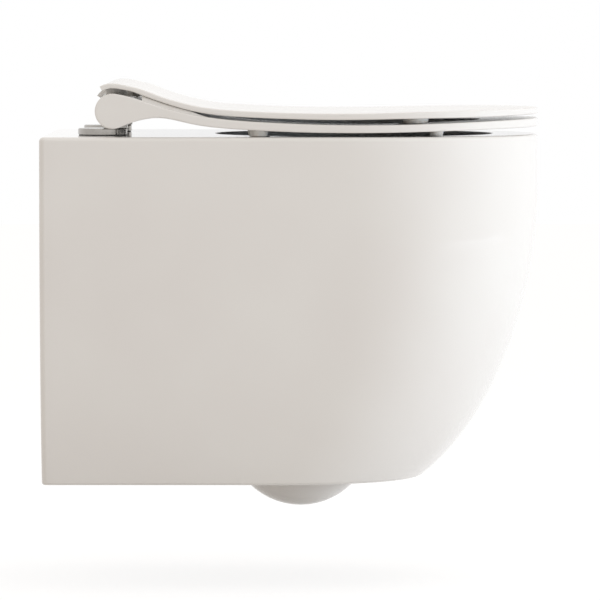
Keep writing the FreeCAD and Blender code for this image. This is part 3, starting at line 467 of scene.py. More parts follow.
@dataclass
class Passage:
    """A hole through a plate with both of its edges rounded, as the closed body that cuts it."""

    half_width: float
    half_height: float
    corner: float
    plate: float
    edge: float
    corner_spans: int = 10
    edge_points: int = 5
    first_degrees: float = 10.0

    def profile(self) -> list[tuple[float, float]]:
        """Half section of the hole.

        Returns:
            Depth in the plate and growth of the outline, from one face to the other.
        """
        inward = quarter(self.edge, self.edge_points, self.first_degrees)
        inward.insert(0, (-BEYOND, inward[0][1] + BEYOND / math.tan(math.radians(self.first_degrees))))
        outward = [(self.plate - depth, growth) for depth, growth in reversed(inward)]
        return inward + outward

    def outline(self, growth: float) -> np.ndarray:
        """Rectangle with round corners, or a circle, about the origin.

        Args:
            growth: Distance out from the hole.

        Returns:
            Points as rows of two numbers, against the clock.
        """
        half_y, half_z, corner = (size + growth
                                  for size in (self.half_width, self.half_height, self.corner))
        points = []
        for quarters, (side_y, side_z) in enumerate(((1, 1), (-1, 1), (-1, -1), (1, -1))):
            for step in range(self.corner_spans + 1):
                angle = math.pi / 2 * (quarters + step / self.corner_spans)
                points.append((side_y * (half_y - corner) + corner * math.cos(angle),
                               side_z * (half_z - corner) + corner * math.sin(angle)))
        return np.array(points)

    def along(self, place: tuple[float, float, float], down: bool = False) -> Object:
        """The cutting body.

        Args:
            place: Its middle on the first face.
            down: Whether it runs along -Z, and not along +X.

        Returns:
            The closed body.
        """
        rings = []
        for depth, growth in self.profile():
            across, up = self.outline(growth).T
            away = np.full(len(up), depth)
            columns = (across, up, -away) if down else (away, across, up)
            rings.append(np.column_stack(columns) + place)
        return lofted("passage", rings)


# --- china ---


@dataclass
class ChinaPan:
    """The one-piece china: shroud with deck, bowl, trap and flush inlet."""

    # Depth under the rim as a share of the sump's, how far the bowl's rear and front have come in by there,
    # and its half width as a share of the mouth's.
    SECTIONS = ((0.0, 0.0, 0.0, 1.0), (0.2, 0.1, 0.045, 0.97), (0.4, 0.38, 0.18, 0.86),
                (0.6, 0.7, 0.42, 0.66), (0.77, 0.87, 0.685, 0.44), (0.91, 0.955, 0.91, 0.25))
    SIDE_SPANS = 24
    NOSE_SPANS = 72
    CORNER_SPANS = 5
    SHROUD_RINGS = 42
    INNER_RINGS = 32
    BOWL_RINGS = 46
    BOWL_OUTER_RINGS = 40
    RIM_POINTS = 8
    FILLET_POINTS = 7
    EDGE_POINTS = 6
    BOWL_POINTS = 128
    TRAP_RINGS = (29, 6, 15, 9)
    HORN_POINTS = 64
    HORN_RINGS = 9
    SHARP_DEGREES = 42.0

    length: float = 507.5
    width: float = 360.0
    depth: float = 353.0
    front_straight: float = 40.0
    front_curve: tuple[float, float] = (211.0, 346.0)
    side_straight: float = 60.0
    side_curve: tuple[float, float] = (90.0, 340.0)
    nose_at_rim: float = 200.0
    nose_at_foot: float = 150.0
    nose_power: float = 2.15
    wall_corner: float = 6.0
    rim_round: float = 4.5
    deck_inset: float = 16.0
    deck_margin: float = 2.0
    deck_corner: float = 1.5
    foot_round: float = 3.0
    skirt_wall: float = 11.0
    deck_wall: float = 14.0
    back_plate: float = 14.0
    inner_fillet: float = 7.0
    bowl_wall: float = 10.0
    bowl_rear: float = 162.0
    bowl_front_rim: float = 51.5
    bowl_side_rim: float = 40.0
    mouth_round: float = 7.0
    mouth_first_degrees: float = 10.0
    sump_x: float = 302.0
    sump_drop: float = 310.0
    trap_bore: float = 26.0
    trap_wall: float = 9.0
    trap_bend: float = 40.0
    weir_bend: float = 45.0
    over_trap: float = 1.5
    outlet_drop: float = 190.0
    outlet_radius: float = 51.0
    outlet_wall: float = 8.0
    spigot_length: float = 75.0
    past_spigot: float = 5.0
    inlet_drop: float = 55.0
    inlet_radius: float = 27.5
    inlet_wall: float = 10.0
    inlet_depth: float = 120.0
    slot_width: float = 50.0
    slot_drop: float = 20.0
    stud_half_spacing: float = 90.0
    stud_hole: float = 9.2
    deck_hole: float = 7.5
    opening_half_width: float = 112.0
    opening_top: float = -30.0
    opening_corner: float = 16.0
    wide_edge: float = 3.0
    hole_edge: float = 1.0
    slot_edge: float = 0.1
    slot_start: float = 115.0
    slot_past_bowl: float = 25.0

    def __post_init__(self) -> None:
        """Take the rim's height and the deck holes' places from the seals that lie on the deck."""
        low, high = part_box("base_gaskets")
        radius = (high.x - low.x) / 2
        self.rim = low.z / MM
        self.deck_hole_x = (low.x + radius) / MM
        self.deck_hole_y = (high.y - radius) / MM

    # shroud

    def fall(self, curve: tuple[float, float], start: float, level: float) -> float:
        """How far an upright that turns into a quarter ellipse has come in at a level."""
        share = max(0.0, level - start) / curve[1]
        return curve[0] * (1 - math.sqrt(1 - share * share))

    def outline(self, level: float, inset: float, rear: float, corner: float) -> np.ndarray:
        """D-shaped ring of the shroud.

        Args:
            level: Depth below the rim.
            inset: Distance in from the shroud's outside at the front and sides.
            rear: Distance of its straight back from the wall.
            corner: Radius of its corners at the wall.

        Returns:
            Its points, against the clock from above.
        """
        tip = self.length - inset - self.fall(self.front_curve, self.front_straight, level)
        half = self.width / 2 - inset - self.fall(self.side_curve, self.side_straight, level)
        nose = self.nose_at_rim + (self.nose_at_foot - self.nose_at_rim) * level / self.depth - inset
        start = tip - nose
        side = np.linspace(rear + corner, start, self.SIDE_SPANS + 1)[:-1]
        turn = np.linspace(-math.pi / 2, math.pi / 2, self.NOSE_SPANS + 1)[:-1]
        power = 2 / self.nose_power
        nose_x = start + nose * np.abs(np.cos(turn)) ** power
        nose_y = half * np.sign(turn) * np.abs(np.sin(turn)) ** power
        bend = np.linspace(math.pi / 2, math.pi, self.CORNER_SPANS + 1)[:-1]
        corner_x = rear + corner * (1 + np.cos(bend))
        corner_y = half - corner * (1 - np.sin(bend))
        back = np.linspace(half - corner, corner - half, self.SIDE_SPANS + 1)[:-1]
        x = np.concatenate([side, nose_x, start + rear + corner - side, corner_x,
                            np.full(len(back), rear), corner_x[::-1]])
        y = np.concatenate([np.full(len(side), -half), nose_y, np.full(len(side), half), corner_y,
                            back, -corner_y[::-1]])
        return np.column_stack([x, y, np.full(len(x), self.rim - level)])

    def shroud(self) -> Object:
        """Outside, deck and inside of the shroud.

        Returns:
            One closed body without openings.
        """
        wall, back, corner = self.skirt_wall, self.back_plate, self.wall_corner
        foot, deck = self.depth - self.foot_round, self.deck_wall
        rings = [(0, inset, inset, self.deck_corner)
                 for inset in (self.deck_inset, self.rim_round + self.deck_margin)]
        rings += [(level, inset, inset, corner - inset)
                  for inset, level in reversed(quarter(self.rim_round, self.RIM_POINTS))]
        rings += [(level, 0, 0, corner)
                  for level in np.linspace(self.rim_round, foot, self.SHROUD_RINGS)[1:-1]]
        rings += [(self.depth - rise, inset, inset, corner - inset)
                  for inset, rise in quarter(self.foot_round, self.EDGE_POINTS)]
        rings += [(self.depth - rise, wall - short, back - short, corner)
                  for rise, short in quarter(self.foot_round, self.EDGE_POINTS)]
        rings += [(level, wall, back, corner)
                  for level in np.linspace(foot, deck + self.inner_fillet, self.INNER_RINGS)[1:-1]]
        rings += [(deck + below, wall + more, back + more, corner)
                  for more, below in quarter(self.inner_fillet, self.FILLET_POINTS)]
        return lofted("china_pan", [self.outline(*ring) for ring in rings])

    # bowl and trap

    def trap_front(self, z: float) -> float:
        """Furthest that the trap's rising leg and upper bend reach from the wall.

        Args:
            z: Height that is asked for.

        Returns:
            Distance from the wall plane.
        """
        reach = self.weir_bend + self.trap_bore + self.trap_wall
        above = max(0.0, z - (self.rim - self.outlet_drop - self.weir_bend))
        bend_x = self.sump_x - 2 * self.trap_bend - self.weir_bend
        return bend_x + math.sqrt(max(0.0, reach * reach - above * above))

    def oval(self, level: float, grow: float) -> np.ndarray:
        """Ring of the bowl.

        Args:
            level: Depth below the rim.
            grow: Distance out from the bowl's inside.

        Returns:
            Its points, against the clock from above.
        """
        knots, rears, fronts, halves = [], [], [], []
        mouth_front = self.length - self.bowl_front_rim
        for depth, rear_in, front_in, share in self.SECTIONS:
            rear = self.bowl_rear + rear_in * (self.sump_x - self.trap_bore - self.bowl_rear)
            knots.append(depth * self.sump_drop)
            rears.append(max(rear, self.trap_front(self.rim - knots[-1]) + self.over_trap))
            fronts.append(mouth_front + front_in * (self.sump_x + self.trap_bore - mouth_front))
            halves.append(share * (self.width / 2 - self.bowl_side_rim))
        knots.append(self.sump_drop)
        rears.append(self.sump_x - self.trap_bore)
        fronts.append(self.sump_x + self.trap_bore)
        halves.append(self.trap_bore)
        at = min(max(level, 0.0), self.sump_drop)
        rear, front, half = (smooth_through(np.array(knots), np.array(row), at)
                             for row in (rears, fronts, halves))
        turn = around(self.BOWL_POINTS)
        return np.column_stack([(rear + front) / 2 + ((front - rear) / 2 + grow) * np.cos(turn),
                                (half + grow) * np.sin(turn),
                                np.full(len(turn), self.rim - level)])

    def pipe(self, wall: float, mouth: float, past: float) -> list[np.ndarray]:
        """Rings of the trap after the sump, from the lower bend to the spigot's end.

        Args:
            wall: Distance out from the bore.
            mouth: Radius of the spigot.
            past: How far it runs past the wall plane.

        Returns:
            The rings, which start where the bowl's last ring lies.
        """
        bore = self.trap_bore + wall
        low = np.array([self.sump_x - self.trap_bend, self.rim - self.sump_drop])
        outlet_z = self.rim - self.outlet_drop
        high = np.array([low[0] - self.trap_bend - self.weir_bend, outlet_z - self.weir_bend])
        bend_rings, leg_rings, weir_rings, spigot_rings = self.TRAP_RINGS
        stations = []
        for angle in np.linspace(0, -math.pi, bend_rings):
            out = np.array([math.cos(angle), math.sin(angle)])
            stations.append((low + self.trap_bend * out, out, bore))
        for z in np.linspace(low[1], high[1], leg_rings)[1:-1]:
            stations.append((np.array([low[0] - self.trap_bend, z]), np.array([-1.0, 0.0]), bore))
        for angle in np.linspace(0, math.pi / 2, weir_rings):
            out = np.array([math.cos(angle), math.sin(angle)])
            stations.append((high + self.weir_bend * out, -out, bore))
        down = np.array([0.0, -1.0])
        for share in np.linspace(0, 1, spigot_rings)[1:]:
            eased = share * share * (3 - 2 * share)
            place = np.array([high[0] + (self.spigot_length - high[0]) * share, outlet_z])
            stations.append((place, down, bore + (mouth - bore) * eased))
        for x in (self.spigot_length / 2, -past):
            stations.append((np.array([x, outlet_z]), down, mouth))
        turn = around(self.BOWL_POINTS)
        return [np.column_stack([place[0] + radius * np.cos(turn) * out[0], radius * np.sin(turn),
                                 place[1] + radius * np.cos(turn) * out[1]])
                for place, out, radius in stations]

    def waterway(self) -> Object:
        """Everything that holds water, from above the mouth to past the spigot.

        Returns:
            One closed body.
        """
        rims = quarter(self.mouth_round, self.RIM_POINTS, self.mouth_first_degrees)
        flare = BEYOND / math.tan(math.radians(self.mouth_first_degrees))
        rings = [self.oval(-BEYOND, rims[0][1] + flare)]
        rings += [self.oval(level, grow) for level, grow in rims]
        rings += [self.oval(level, 0)
                  for level in np.linspace(self.mouth_round, self.sump_drop, self.BOWL_RINGS)[1:-1]]
        rings += self.pipe(0, self.outlet_radius - self.outlet_wall, self.past_spigot)
        return lofted("waterway", rings)

    def bowl(self) -> Object:
        """The bowl's outside, which swells into the deck.

        Returns:
            One closed body.
        """
        top = self.deck_wall + self.inner_fillet
        rings = [self.oval(self.deck_wall / 2, self.bowl_wall + self.inner_fillet)]
        for below, more in quarter(self.inner_fillet, self.EDGE_POINTS):
            rings.append(self.oval(self.deck_wall + below, self.bowl_wall + more))
        for level in np.linspace(top, self.sump_drop, self.BOWL_OUTER_RINGS)[1:]:
            share = (level - top) / (self.sump_drop - top)
            rings.append(self.oval(level, self.bowl_wall + (self.trap_wall - self.bowl_wall) * share))
        return lofted("bowl", rings)

    def trap(self) -> Object:
        """The trap's outside as a solid, up to the wall plane."""
        return lofted("trap", self.pipe(self.trap_wall, self.outlet_radius, 0))

    def horn(self) -> Object:
        """The flush inlet's outside, from inside the back plate to inside the bowl's wall.

        Returns:
            One closed body.
        """
        radius = self.inlet_radius + self.inlet_wall
        centre_z = self.rim - self.inlet_drop
        turn = around(self.HORN_POINTS)
        start_x = self.back_plate / 2
        rings = []
        for share in np.linspace(0, 1, self.HORN_RINGS):
            swell = 0.0 if rings else self.inner_fillet
            y = (radius + swell) * np.cos(turn)
            z = centre_z + (radius + swell) * np.sin(turn)
            ends = np.array([self.bowl_middle(across, height) for across, height in zip(y, z)])
            rings.append(np.column_stack([start_x + (ends - start_x) * share, y, z]))
        return lofted("horn", rings)

    def bowl_middle(self, y: float, z: float) -> float:
        """Middle of the bowl's rear wall.

        Args:
            y: Place across the pan.
            z: Height.

        Returns:
            Its distance from the wall plane.
        """
        ring = self.oval(self.rim - z, self.bowl_wall / 2)
        centre = (ring[:, 0].max() + ring[:, 0].min()) / 2
        reach = (ring[:, 0].max() - ring[:, 0].min()) / 2
        return centre - reach * math.sqrt(1 - (y / ring[:, 1].max()) ** 2)

    def passages(self) -> list[Object]:
        """Bodies that cut the inlet, the flush slot, the wall, stud and deck holes.

        Returns:
            The closed bodies.
        """
        inlet_z = self.rim - self.inlet_drop
        bore, stud, bolt, half_slot = self.inlet_radius, self.stud_hole, self.deck_hole, self.slot_drop / 2
        foot = self.rim - self.depth
        below_foot = 30.0
        half_height = (self.opening_top - foot + below_foot) / 2
        inlet = Passage(bore, bore, bore, self.inlet_depth, self.wide_edge, corner_spans=16)
        slot = Passage(self.slot_width / 2, half_slot, half_slot,
                       self.bowl_rear + self.slot_past_bowl - self.slot_start, self.slot_edge)
        opening = Passage(self.opening_half_width, half_height, self.opening_corner, self.back_plate,
                          self.wide_edge)
        cuts = [inlet.along((0, 0, inlet_z)), slot.along((self.slot_start, 0, inlet_z)),
                opening.along((0, 0, self.opening_top - half_height))]
        for side in (-1, 1):
            stud_way = Passage(stud, stud, stud, self.back_plate, self.hole_edge)
            cuts.append(stud_way.along((0, side * self.stud_half_spacing, 0)))
            bolt_way = Passage(bolt, bolt, bolt, self.deck_wall, self.hole_edge)
            cuts.append(bolt_way.along((self.deck_hole_x, side * self.deck_hole_y, self.rim), down=True))
        return cuts

    def build(self) -> None:
        """Make the china and let it stand for its luted parts."""
        body = joined(self.shroud(), [self.bowl(), self.trap(), self.horn()], Join.ADD)
        joined(body, [self.waterway()] + self.passages(), Join.CUT)
        shaded(body, self.SHARP_DEGREES)
        parts = [row["node"] for row in frame["record"]["subparts"]
                 if row["material_slot"] == Slot.CHINA.value]
        dress(body, Slot.CHINA, Body.PAN, parts)


# --- seat ---


@dataclass
class SeatLands:
    """Raised lands along the seat's two arms, under the edges of the shut lid."""

    start: float = 103.5
    end: float = 176.0
    outer: float = 175.5
    inner: float = 128.0
    felt_at: float = 150.0
    gap: float = 0.4
    parts_at: float = 151.0
    parting: float = 0.16
    felt_from: float = 60.0
    off_seat: float = 0.1
    slope: float = 2.2
    least_slope: float = 0.22
    shoulder: float = 1.0
    shoulder_points: int = 7
    sink: float = 1.2
    spans: int = 34
    stations: int = 10

    def felt(self, node: str, places: np.ndarray, way: int) -> np.ndarray:
        """Heights at which upright rays meet a CAD node.

        Args:
            node: The CAD node.
            places: Rows of millimetres that the rays start from.
            way: 1 for upwards, -1 for downwards.

        Returns:
            One height in millimetres for each ray.
        """
        mesh = frame["nodes"][node].data
        faces = BVHTree.FromPolygons([point.co for point in mesh.vertices],
                                     [tuple(face.vertices) for face in mesh.polygons])
        return np.array([faces.ray_cast(Vector(place) * MM, Vector((0, 0, way)))[0].z / MM
                         for place in places])

    def land(self, side: int, rim: float) -> Object:
        """One land, which follows the lid's underside and fades into the seat towards the front.

        Args:
            side: 1 for the sitter's left arm, -1 for the right.
            rim: Height of the pan's rim.

        Returns:
            Its closed body.
        """
        at = np.linspace(self.start, self.end, self.stations)
        line = np.full(len(at), side * self.felt_at)
        above = np.full(len(at), rim + self.felt_from)
        seat_top = self.felt("seat_ring", np.column_stack([at, line, above]), -1)
        lid_under = self.felt("lid_cover", np.column_stack([at, line, seat_top + self.off_seat]), 1)
        land_top = lid_under - self.gap - self.parting * np.maximum(0, at - self.parts_at)
        rings = []
        for x in np.linspace(self.start, self.end, self.spans):
            seat, top = (smooth_through(at, row, x) for row in (seat_top, land_top))
            rise = top - seat
            reach = max(self.least_slope, min(self.slope, rise + self.shoulder))
            turn = np.linspace(math.pi / 2, 0, self.shoulder_points)
            side_y = self.outer - reach + reach * np.cos(turn)
            side_z = rise - (rise + self.sink) * (1 - np.sin(turn))
            y = np.concatenate([side_y, self.inner + reach - reach * np.cos(turn)[::-1]])
            z = np.concatenate([side_z, side_z[::-1]])
            rings.append(np.column_stack([np.full(len(y), x), side * y, seat + z]))
        return lofted("seat_arm_land", rings)

    def build(self) -> None:
        """Make both lands as one piece of the seat."""
        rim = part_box("base_gaskets")[0].z / MM
        piece = joined(self.land(1, rim), [self.land(-1, rim)], Join.ADD)
        piece.name = "seat_arm_lands"
        dress(shaded(piece), Slot.RESIN, Body.SEAT, ())


# --- repeated turned pieces ---


class TurnedPairTree:
    """Geometry Nodes tree of a turned piece with rounded edges, set out at two places."""

    SIZES = ("Bore", "Foot Radius", "Top Radius", "Height", "Foot Round", "Top Round")
    PLACES = ("First Place", "Second Place", "Turn")
    SPANS = 56
    FILLET_POINTS = 7
    AXIS = 1e-5
    AXIS_MERGE = 4e-5

    def __init__(self, name: str) -> None:
        """Build the tree.

        Args:
            name: Name of the tree.
        """
        self.tree = bpy.data.node_groups.new(name, "GeometryNodeTree")
        self.tree.is_modifier = True
        face = self.tree.interface
        for size in self.SIZES:
            face.new_socket(size, in_out="INPUT", socket_type="NodeSocketFloat")
        for place in self.PLACES:
            face.new_socket(place, in_out="INPUT", socket_type="NodeSocketVector")
        face.new_socket("Finish", in_out="INPUT", socket_type="NodeSocketMaterial")
        face.new_socket("Geometry", in_out="OUTPUT", socket_type="NodeSocketGeometry")
        self.given = add(self.tree, "NodeGroupInput").outputs
        pieces = self.set_out(self.turned(self.profile()))
        real = add(self.tree, "GeometryNodeRealizeInstances", {"Geometry": pieces})
        dressed = add(self.tree, "GeometryNodeSetMaterial",
                      {"Geometry": real.outputs["Geometry"], "Material": self.given["Finish"]})
        add(self.tree, "NodeGroupOutput", {"Geometry": dressed.outputs["Geometry"]})

    def profile(self) -> NodeSocket:
        """Half section from the top's bore to the foot's, with its outer corners filleted.

        Returns:
            The section as a closed curve.
        """
        corners = {}
        for number, names in enumerate((("Bore",), ("Top Radius",), ("Foot Radius", "Height"),
                                        ("Bore", "Height")), start=1):
            inputs = {axis: self.given[name] for axis, name in zip("XY", names)}
            corners[f"Point {number}"] = add(self.tree, "ShaderNodeCombineXYZ", inputs).outputs["Vector"]
        section = add(self.tree, "GeometryNodeCurvePrimitiveQuadrilateral", corners, mode="POINTS")
        index = add(self.tree, "GeometryNodeInputIndex").outputs["Index"]
        radius: Any = 0.0
        for corner, name in ((1, "Top Round"), (2, "Foot Round")):
            values = {"Switch": self.equal(index, corner), "False": radius, "True": self.given[name]}
            radius = add(self.tree, "GeometryNodeSwitch", values, input_type="FLOAT").outputs["Output"]
        return add(self.tree, "GeometryNodeFilletCurve",
                   {"Curve": section.outputs["Curve"], "Count": self.FILLET_POINTS, "Radius": radius,
                    "Limit Radius": True}, mode="POLY").outputs["Curve"]

    def equal(self, number: NodeSocket, wanted: int) -> NodeSocket:
        """Whether a whole number has a value.

        Args:
            number: The number.
            wanted: The value.

        Returns:
            True or false.
        """
        node = add(self.tree, "FunctionNodeCompare", data_type="INT", operation="EQUAL")
        self.tree.links.new(number, node.inputs[WHOLE_A])
        node.inputs[WHOLE_B].default_value = wanted
        return node.outputs["Result"]

    def turned(self, profile: NodeSocket) -> NodeSocket:
        """The section turned about the upright axis, with what closes on the axis merged.

        Args:
            profile: The section.

        Returns:
            The piece as a mesh.
        """
        circle = add(self.tree, "GeometryNodeCurvePrimitiveCircle",
                     {"Resolution": self.SPANS, "Radius": self.AXIS})
        swept = add(self.tree, "GeometryNodeCurveToMesh",
                    {"Curve": circle.outputs["Curve"], "Profile Curve": profile})
        merged = add(self.tree, "GeometryNodeMergeByDistance",
                     {"Geometry": swept.outputs["Mesh"], "Distance": self.AXIS_MERGE})
        neighbours = add(self.tree, "GeometryNodeInputMeshEdgeNeighbors").outputs["Face Count"]
        return add(self.tree, "GeometryNodeDeleteGeometry",
                   {"Geometry": merged.outputs["Geometry"], "Selection": self.equal(neighbours, 0)},
                   domain="EDGE").outputs["Geometry"]

    def set_out(self, piece: NodeSocket) -> NodeSocket:
        """The piece at both places.

        Args:
            piece: The piece.

        Returns:
            Its two instances.
        """
        first, second = self.given["First Place"], self.given["Second Place"]
        step = add(self.tree, "ShaderNodeVectorMath", {0: second, 1: first}, operation="SUBTRACT")
        row = add(self.tree, "GeometryNodeMeshLine",
                  {"Count": 2, "Start Location": first, "Offset": step.outputs["Vector"]}, mode="OFFSET")
        turn = add(self.tree, "FunctionNodeEulerToRotation", {"Euler": self.given["Turn"]})
        return add(self.tree, "GeometryNodeInstanceOnPoints",
                   {"Points": row.outputs["Mesh"], "Instance": piece,
                    "Rotation": turn.outputs["Rotation"]}).outputs["Instances"]


@dataclass
class TurnedPair:
    """Two like turned pieces on one body. Sizes are in millimetres."""

    name: str
    slot: Slot
    body: Body
    nodes: tuple[str, ...]
    foot_radius: float
    top_radius: float
    height: float
    places: tuple[tuple[float, float, float], tuple[float, float, float]]
    foot_round: float
    top_round: float
    bore: float = 0.0
    turn: tuple[float, float, float] = (0.0, 0.0, 0.0)

    def build(self, tree: TurnedPairTree) -> None:
        """Make both pieces, with their tops at the places, and dress them.

        Args:
            tree: Tree that turns them.
        """
        thing = linked(self.name, bpy.data.meshes.new(self.name))
        modifier = thing.modifiers.new("turned", "NODES")
        modifier.node_group = tree.tree
        sizes = (self.bore, self.foot_radius, self.top_radius, self.height, self.foot_round, self.top_round)
        values = {name: size * MM for name, size in zip(tree.SIZES, sizes)}
        values |= {name: [c * MM for c in place] for name, place in zip(tree.PLACES, self.places)}
        values |= {"Turn": list(self.turn), "Finish": FINISHES[self.slot].material()}
        for item in tree.tree.interface.items_tree:
            if item.in_out == "INPUT":
                modifier[item.identifier] = values[item.name]
        dress(shaded(settled(thing)), self.slot, self.body, self.nodes)


@dataclass
class Bumpers:
    """Soft bumpers under the seat and the lid, with their tops a little way into what carries them."""

    taper: float = 1.4
    sink: float = 1.2
    stem: float = 4.0
    rest_round: float = 1.6
    top_round: float = 0.3

    def pairs(self) -> list[TurnedPair]:
        """Rounded bumpers in the place of the three CAD pairs.

        Returns:
            The pairs.
        """
        pairs = []
        for node, body in (("rear_seat_bumpers", Body.SEAT), ("front_seat_bumpers", Body.SEAT),
                           ("lid_bumpers", Body.LID)):
            low, high = (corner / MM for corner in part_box(node))
            radius = (high.x - low.x) / 2
            top = high.z - self.stem + self.sink
            places = tuple((low.x + radius, side * (high.y - radius), top) for side in (-1, 1))
            pairs.append(TurnedPair(node.rstrip("s") + "_pads", Slot.BUMPER, body, (node,),
                                    radius - self.taper, radius, top - low.z, places,
                                    self.rest_round, self.top_round))
        return pairs


@dataclass
class FlatRings:
    """Thin seals between the polished discs and the glazed deck, and nylon washers under the nuts of the
    two wall studs."""

    seal_bore: float = 7.5
    seal_round: float = 0.25
    washer_bore: float = 6.5
    washer_round: float = 0.5

    def pairs(self) -> list[TurnedPair]:
        """Rings in the place of the CAD pairs, with their tops away from the deck and from the wall.

        Returns:
            The seals and the washers.
        """
        low, high = (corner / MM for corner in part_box("base_gaskets"))
        radius = (high.x - low.x) / 2
        places = tuple((low.x + radius, side * (high.y - radius), high.z) for side in (-1, 1))
        seals = TurnedPair("deck_seals", Slot.SEAL, Body.PAN, ("base_gaskets",), radius, radius,
                           high.z - low.z, places, self.seal_round, self.seal_round, self.seal_bore)
        low, high = (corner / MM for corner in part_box("stud_washers"))
        radius = (high.z - low.z) / 2
        places = tuple((high.x, side * (high.y - radius), low.z + radius) for side in (-1, 1))
        washers = TurnedPair("wall_stud_washers", Slot.NYLON, Body.PAN, ("stud_washers",), radius, radius,
                             high.x - low.x, places, self.washer_round, self.washer_round,
                             self.washer_bore, (0.0, math.pi / 2, 0.0))
        return [seals, washers]


# --- dressing ---


def dress(thing: Object, slot: Slot, body: Body, nodes: tuple[str, ...] | list[str]) -> None:
    """Give a finished piece its finish and body, and let it stand for CAD nodes.

    Args:
        thing: The piece.
        slot: Record's material slot that names its finish.
        body: Body that it rides on.
        nodes: CAD nodes that it replaces.
    """
    thing.data.materials.clear()
    thing.data.materials.append(FINISHES[slot].material())
    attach(thing, body.value)
    if nodes:
        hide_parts(*nodes)
    LOG.info("%s on %s for %s: %d faces", thing.name, body.value, ", ".join(nodes) or "itself",
             len(thing.data.polygons))


def dress_kept_nodes() -> None:
    """Give every CAD node the finish of its slot; those that stay are seen in it."""
    for row in frame["record"]["subparts"]:
        node = frame["nodes"][row["node"]]
        finish = FINISHES[Slot(row["material_slot"])].material()
        if node.material_slots:
            for place in node.material_slots:
                place.material = finish
        else:
            node.data.materials.append(finish)
        if not node.hide_render:
            LOG.info("%s stays, in %s", node.name, finish.name)


# --- studio ---


@dataclass(frozen=True)
class SoftLamp:
    """Large soft lamp that points at a place and lights without showing as an edge in the gloss."""

    name: str
    place: tuple[float, float, float]
    aim: tuple[float, float, float]
    width: float
    height: float
    watts: float
    tone: str = "FFFEFC"

    def build(self) -> None:
        """Hang the lamp."""
        lamp = bpy.data.lights.new(self.name, "AREA")
        lamp.shape = "RECTANGLE"
        lamp.size = self.width
        lamp.size_y = self.height
        lamp.energy = self.watts
        lamp.color = colour(self.tone)[:3]
        thing = linked(self.name, lamp)
        thing.location = self.place
        thing.rotation_euler = (Vector(self.aim) - Vector(self.place)).to_track_quat("-Z", "Y").to_euler()
        thing.visible_glossy = False


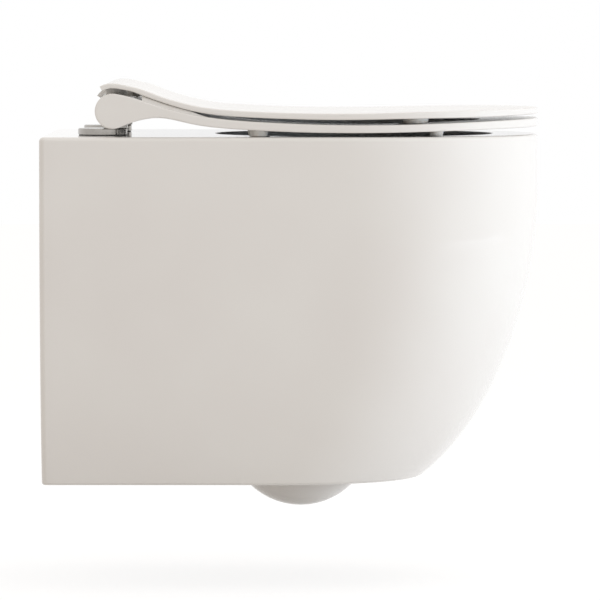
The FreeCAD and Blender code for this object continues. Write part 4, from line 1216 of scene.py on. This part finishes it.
@dataclass
class Studio:
    """Pale floor, white surroundings, soft light and the camera. Lengths are metres."""

    floor_height: float = -0.37
    floor_half: float = 9.0
    floor_tone: str = "D3D0CC"
    floor_seen_tone: str = "8C8C8C"
    floor_lift: float = 0.82
    ambient: str = "DCD6D1"
    camera_place: tuple[float, float, float] = (0.2615, -5.68, 0.227)
    camera_pitch: float = 86.88
    lens_mm: float = 330.0
    sensor_mm: float = 36.0
    lamps: tuple[SoftLamp, ...] = (
        SoftLamp("front_lamp", (2.95, -0.6, -0.02), (0.4, 0, -0.1), width=2.4, height=0.6, watts=38,
                 tone="E8F3FF"),
        SoftLamp("top_lamp", (0.5, -0.2, 2.6), (0.3, 0, 0), width=2.4, height=2.4, watts=12))

    def seen(self, tree: NodeTree) -> NodeSocket:
        """Tell rays that see from rays that light.

        Args:
            tree: Tree of the floor's material or of the world.

        Returns:
            One on rays from the camera, from gloss and through glass, and nought on the others.
        """
        path = add(tree, "ShaderNodeLightPath")
        total = path.outputs["Is Camera Ray"]
        for name in ("Is Glossy Ray", "Is Transmission Ray"):
            total = add(tree, "ShaderNodeMath", {0: total, 1: path.outputs[name]},
                        operation="MAXIMUM").outputs[0]
        return total

    def floor(self) -> None:
        """Pale floor that is near white where it is seen and still takes the shadow, open from below."""
        half = self.floor_half
        mesh = bpy.data.meshes.new("floor")
        mesh.from_pydata([(x, y, self.floor_height) for x, y in ((-half, -half), (half, -half),
                                                                 (half, half), (-half, half))],
                         [], [(0, 1, 2, 3)])
        thing = linked("floor", mesh)
        made = bpy.data.materials.new("floor_paper")
        made.use_nodes = True
        tree = made.node_tree
        tree.nodes.clear()
        seen = self.seen(tree)
        tone = add(tree, "ShaderNodeMix", {"Factor": seen, "A": colour(self.floor_tone),
                                           "B": colour(self.floor_seen_tone)}, data_type="RGBA")
        matt = add(tree, "ShaderNodeBsdfDiffuse", {"Color": tone.outputs[MIXED_COLOUR]})
        lift = add(tree, "ShaderNodeMath", {0: seen, 1: self.floor_lift}, operation="MULTIPLY")
        glow = add(tree, "ShaderNodeEmission", {"Color": WHITE, "Strength": lift.outputs[0]})
        both = add(tree, "ShaderNodeAddShader", {0: matt.outputs[0], 1: glow.outputs[0]})
        below = add(tree, "ShaderNodeNewGeometry").outputs["Backfacing"]
        open_below = add(tree, "ShaderNodeBsdfTransparent").outputs[0]
        paper = add(tree, "ShaderNodeMixShader", {0: below, 1: both.outputs[0], 2: open_below})
        add(tree, "ShaderNodeOutputMaterial", {"Surface": paper.outputs[0]})
        mesh.materials.append(made)

    def surroundings(self) -> None:
        """White where it is seen, and a plain warm grey as light."""
        world = bpy.data.worlds.new("studio")
        bpy.context.scene.world = world
        world.use_nodes = True
        tree = world.node_tree
        tree.nodes.clear()
        tone = add(tree, "ShaderNodeMix", {"Factor": self.seen(tree), "A": colour(self.ambient),
                                           "B": WHITE}, data_type="RGBA")
        light = add(tree, "ShaderNodeBackground", {"Color": tone.outputs[MIXED_COLOUR], "Strength": 1.0})
        add(tree, "ShaderNodeOutputWorld", {"Surface": light.outputs[0]})

    def camera(self) -> None:
        """Camera at the photograph's angle."""
        lens = bpy.data.cameras.new("camera")
        lens.lens = self.lens_mm
        lens.sensor_width = self.sensor_mm
        thing = linked("camera", lens)
        thing.location = self.camera_place
        thing.rotation_euler = (math.radians(self.camera_pitch), 0, 0)
        bpy.context.scene.camera = thing

    def build(self) -> None:
        """Set up everything round the object."""
        self.floor()
        self.surroundings()
        self.camera()
        for lamp in self.lamps:
            lamp.build()
        bpy.context.scene.view_settings.view_transform = "Standard"


def main() -> None:
    """Build the studio and then each sub-assembly."""
    logging.basicConfig(level=logging.INFO, format="%(message)s")
    Studio().build()
    ChinaPan().build()
    SeatLands().build()
    tree = TurnedPairTree("turned_pair")
    for pair in Bumpers().pairs() + FlatRings().pairs():
        pair.build(tree)
    dress_kept_nodes()


if __name__ == "__main__":
    main()
